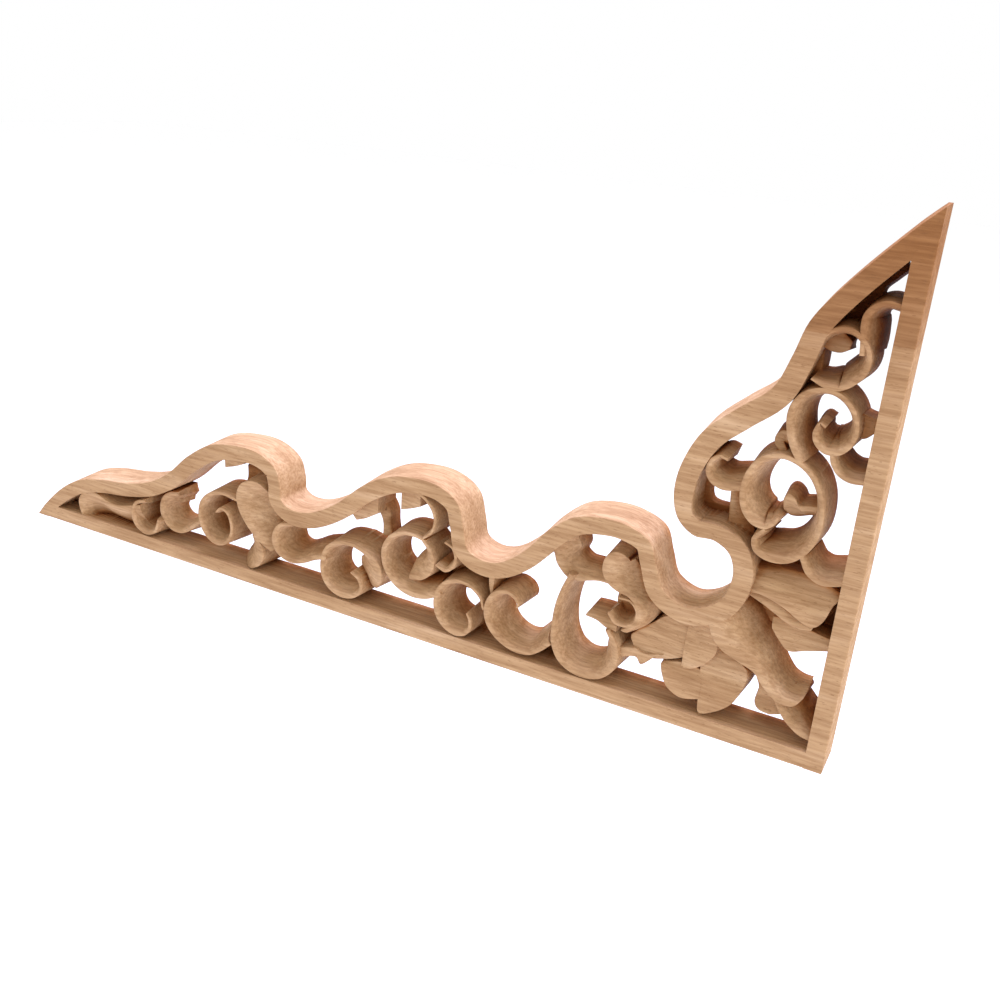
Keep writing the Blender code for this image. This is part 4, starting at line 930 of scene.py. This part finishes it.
TIP_LENGTH = 5.8
UPPER_TIP_EXTRA = 0.7
right_rail_end = SHORT_LEG - TIP_LENGTH - UPPER_TIP_EXTRA
bottom_rail = strip_object("bottom rail", straight_rail((LONG_LEG - TIP_LENGTH, 0.0), (0.0, 0.0)))
right_rail = strip_object("right rail", straight_rail((0.0, 0.0), (0.0, right_rail_end)))
rail_rows = thinned(smooth_line(scalloped_rail))
rail_pairs = [((row[0], row[1], 0.0), (*far, 0.0))
              for row, far in zip(rail_rows, inner_edge(rail_rows))]
cutters = [right_rail, strip_object("scalloped rail", rail_pairs)]
for shape in shapes:
    if isinstance(shape, Stroke):
        pairs = stroke_stations(shape)
        power = BAND_GOUGE
    else:
        pairs = leaf_stations(shape)
        power = TONGUE_GOUGE if shape.name == "tongue" else LEAF_GOUGE
    for i, span in enumerate(spans(pairs)):
        cutters.append(strip_object(f"{shape.name} {i}", span, **{"Gouge Power": power}))
print(len(cutters) + 1, "bodies to join")

# %% One solid piece
BACK_CELLS = 68
PAST_FRONT = -1.0


def plain_copy(source, name):
    """The evaluated mesh of an object as a new plain object."""
    depsgraph = bpy.context.evaluated_depsgraph_get()
    mesh = bpy.data.meshes.new_from_object(source.evaluated_get(depsgraph), depsgraph=depsgraph)
    mesh.name = name
    piece = bpy.data.objects.new(name, mesh)
    bpy.context.scene.collection.objects.link(piece)
    return piece


def boolean(target, operation, **operand):
    """Adds one Boolean, with an object or a collection as its operand."""
    modifier = target.modifiers.new(operation.lower(), "BOOLEAN")
    modifier.operation = operation
    modifier.solver = "MANIFOLD"
    for key, value in operand.items():
        setattr(modifier, key, value)


def plank():
    """The uncut plank. Its back is a grid, so that no single face has to hold every hole."""
    work = bmesh.new()
    bmesh.ops.create_grid(work, x_segments=BACK_CELLS, y_segments=BACK_CELLS // 2, size=0.5)
    front = bmesh.ops.extrude_face_region(work, geom=work.faces[:])["geom"]
    front = {item for item in front if isinstance(item, bmesh.types.BMVert)}
    for vertex in work.verts:
        left, up = (0.5 - vertex.co.x) * LONG_LEG, (0.5 + vertex.co.y) * SHORT_LEG
        vertex.co = place(left, up, PAST_FRONT if vertex in front else THICKNESS)
    bmesh.ops.recalc_face_normals(work, faces=work.faces)
    mesh = bpy.data.meshes.new("plank")
    work.to_mesh(mesh)
    work.free()
    board = bpy.data.objects.new("plank", mesh)
    bpy.context.scene.collection.objects.link(board)
    return board


carving = bpy.data.collections.new("carving")
bpy.context.scene.collection.children.link(carving)
for cutter in cutters:
    bpy.context.scene.collection.objects.unlink(cutter)
    carving.objects.link(cutter)
board = plank()
boolean(bottom_rail, "UNION", operand_type="COLLECTION", collection=carving)
boolean(bottom_rail, "INTERSECT", operand_type="OBJECT", object=board)
onlay = plain_copy(bottom_rail, "carved_onlay")
for helper in [*cutters, bottom_rail, board]:
    bpy.data.objects.remove(helper, do_unlink=True)
bpy.data.collections.remove(carving)
print("triangles:", sum(len(face.vertices) - 2 for face in onlay.data.polygons))

# %% [markdown]
# ## Shade painted into the hollows
#
# Shade is painted into the colour of the wood here. The bottoms of the hollows and the insides of
# the holes are given a much browner colour than the open faces, where shade falls. A mesh can carry
# that as a number. Here it is the share of open air in front of each vertex, found with rays in
# many directions and evened out along the edges. It is stored for each corner of each face, so
# that the flat back, which was never in a hollow, can keep the value 1 right up to the edge of a
# hole. The material turns the number into painted shade.

# %% Share of open air at each vertex
RAYS = 48
REACH = 0.06
OFF_FACE = 0.0003
GLANCING = 0.05
FACES_BACK = 0.9


def front_directions(count):
    """Directions spread evenly over the half sphere in front of the plank, by the golden angle."""
    golden = math.pi * (3 - math.sqrt(5))
    directions = []
    for i in range(count):
        forward = (i + 0.5) / count
        across = math.sqrt(1 - forward * forward)
        directions.append(Vector((across * math.cos(golden * i), -forward, across * math.sin(golden * i))))
    return directions


def open_air(mesh):
    """For each vertex, the share of the directions off its faces in which a ray meets no wood."""
    mesh.calc_loop_triangles()
    wood = BVHTree.FromPolygons([vertex.co for vertex in mesh.vertices],
                                [tuple(triangle.vertices) for triangle in mesh.loop_triangles])
    directions = front_directions(RAYS)
    facing = [Vector() for _ in mesh.vertices]
    for face in mesh.polygons:
        if face.normal.y < FACES_BACK:
            for index in face.vertices:
                facing[index] += face.normal * face.area ** 0.5
    shares = []
    for vertex, normal in zip(mesh.vertices, facing):
        normal = normal.normalized() if normal.length > 0 else Vector((0.0, -1.0, 0.0))
        start = vertex.co + normal * OFF_FACE
        tried = free = 0.0
        for direction in directions:
            weight = normal.dot(direction)
            if weight > GLANCING:
                tried += weight
                if wood.ray_cast(start, direction, REACH)[0] is None:
                    free += weight
        shares.append(free / tried if tried else 1.0)
    return shares


shares = open_air(onlay.data)
print("open air before it is evened, mean:", round(sum(shares) / len(shares), 2))

# %% The share evened out and stored
BACK_PLANE = -0.0001
EVENING_PASSES = 2


def evened(mesh, values):
    """Each vertex's value averaged with those at the other ends of its edges."""
    sums, counts = list(values), [1] * len(values)
    for edge in mesh.edges:
        a, b = edge.vertices
        if mesh.vertices[a].co.y < BACK_PLANE and mesh.vertices[b].co.y < BACK_PLANE:
            sums[a] += values[b]
            sums[b] += values[a]
            counts[a] += 1
            counts[b] += 1
    return [total / count for total, count in zip(sums, counts)]


def store_by_corner(mesh, name, values):
    """Stores a value for each corner of each face: 1 on the flat back, the vertex's own elsewhere."""
    corners = [0.0] * len(mesh.loops)
    for face in mesh.polygons:
        for loop in face.loop_indices:
            at_vertex = values[mesh.loops[loop].vertex_index]
            corners[loop] = 1.0 if face.normal.y > FACES_BACK else at_vertex
    mesh.attributes.new(name, "FLOAT", "CORNER").data.foreach_set("value", corners)


for _ in range(EVENING_PASSES):
    shares = evened(onlay.data, shares)
# This share is what the material turns into painted shade in the hollows.
store_by_corner(onlay.data, "open air", shares)
print("open air, least and mean:", round(min(shares), 2), round(sum(shares) / len(shares), 2))

# %% [markdown]
# ## Finishing the mesh
#
# The faces are shaded smooth where they meet at a shallow angle, so the gouges read as curved
# and the edges of the walls stay crisp.

# %% Shading and material
CRISP_ANGLE = math.radians(38)
onlay.data.polygons.foreach_set("use_smooth", [True] * len(onlay.data.polygons))
onlay.data.set_sharp_from_angle(angle=CRISP_ANGLE)
onlay.data.materials.clear()
onlay.data.materials.append(rubberwood)
print("edges sharper than", round(math.degrees(CRISP_ANGLE)), "degrees stay crisp")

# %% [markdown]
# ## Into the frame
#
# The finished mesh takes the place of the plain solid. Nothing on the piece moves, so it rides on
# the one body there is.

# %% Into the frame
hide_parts("corner_onlay")
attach(onlay, "root")
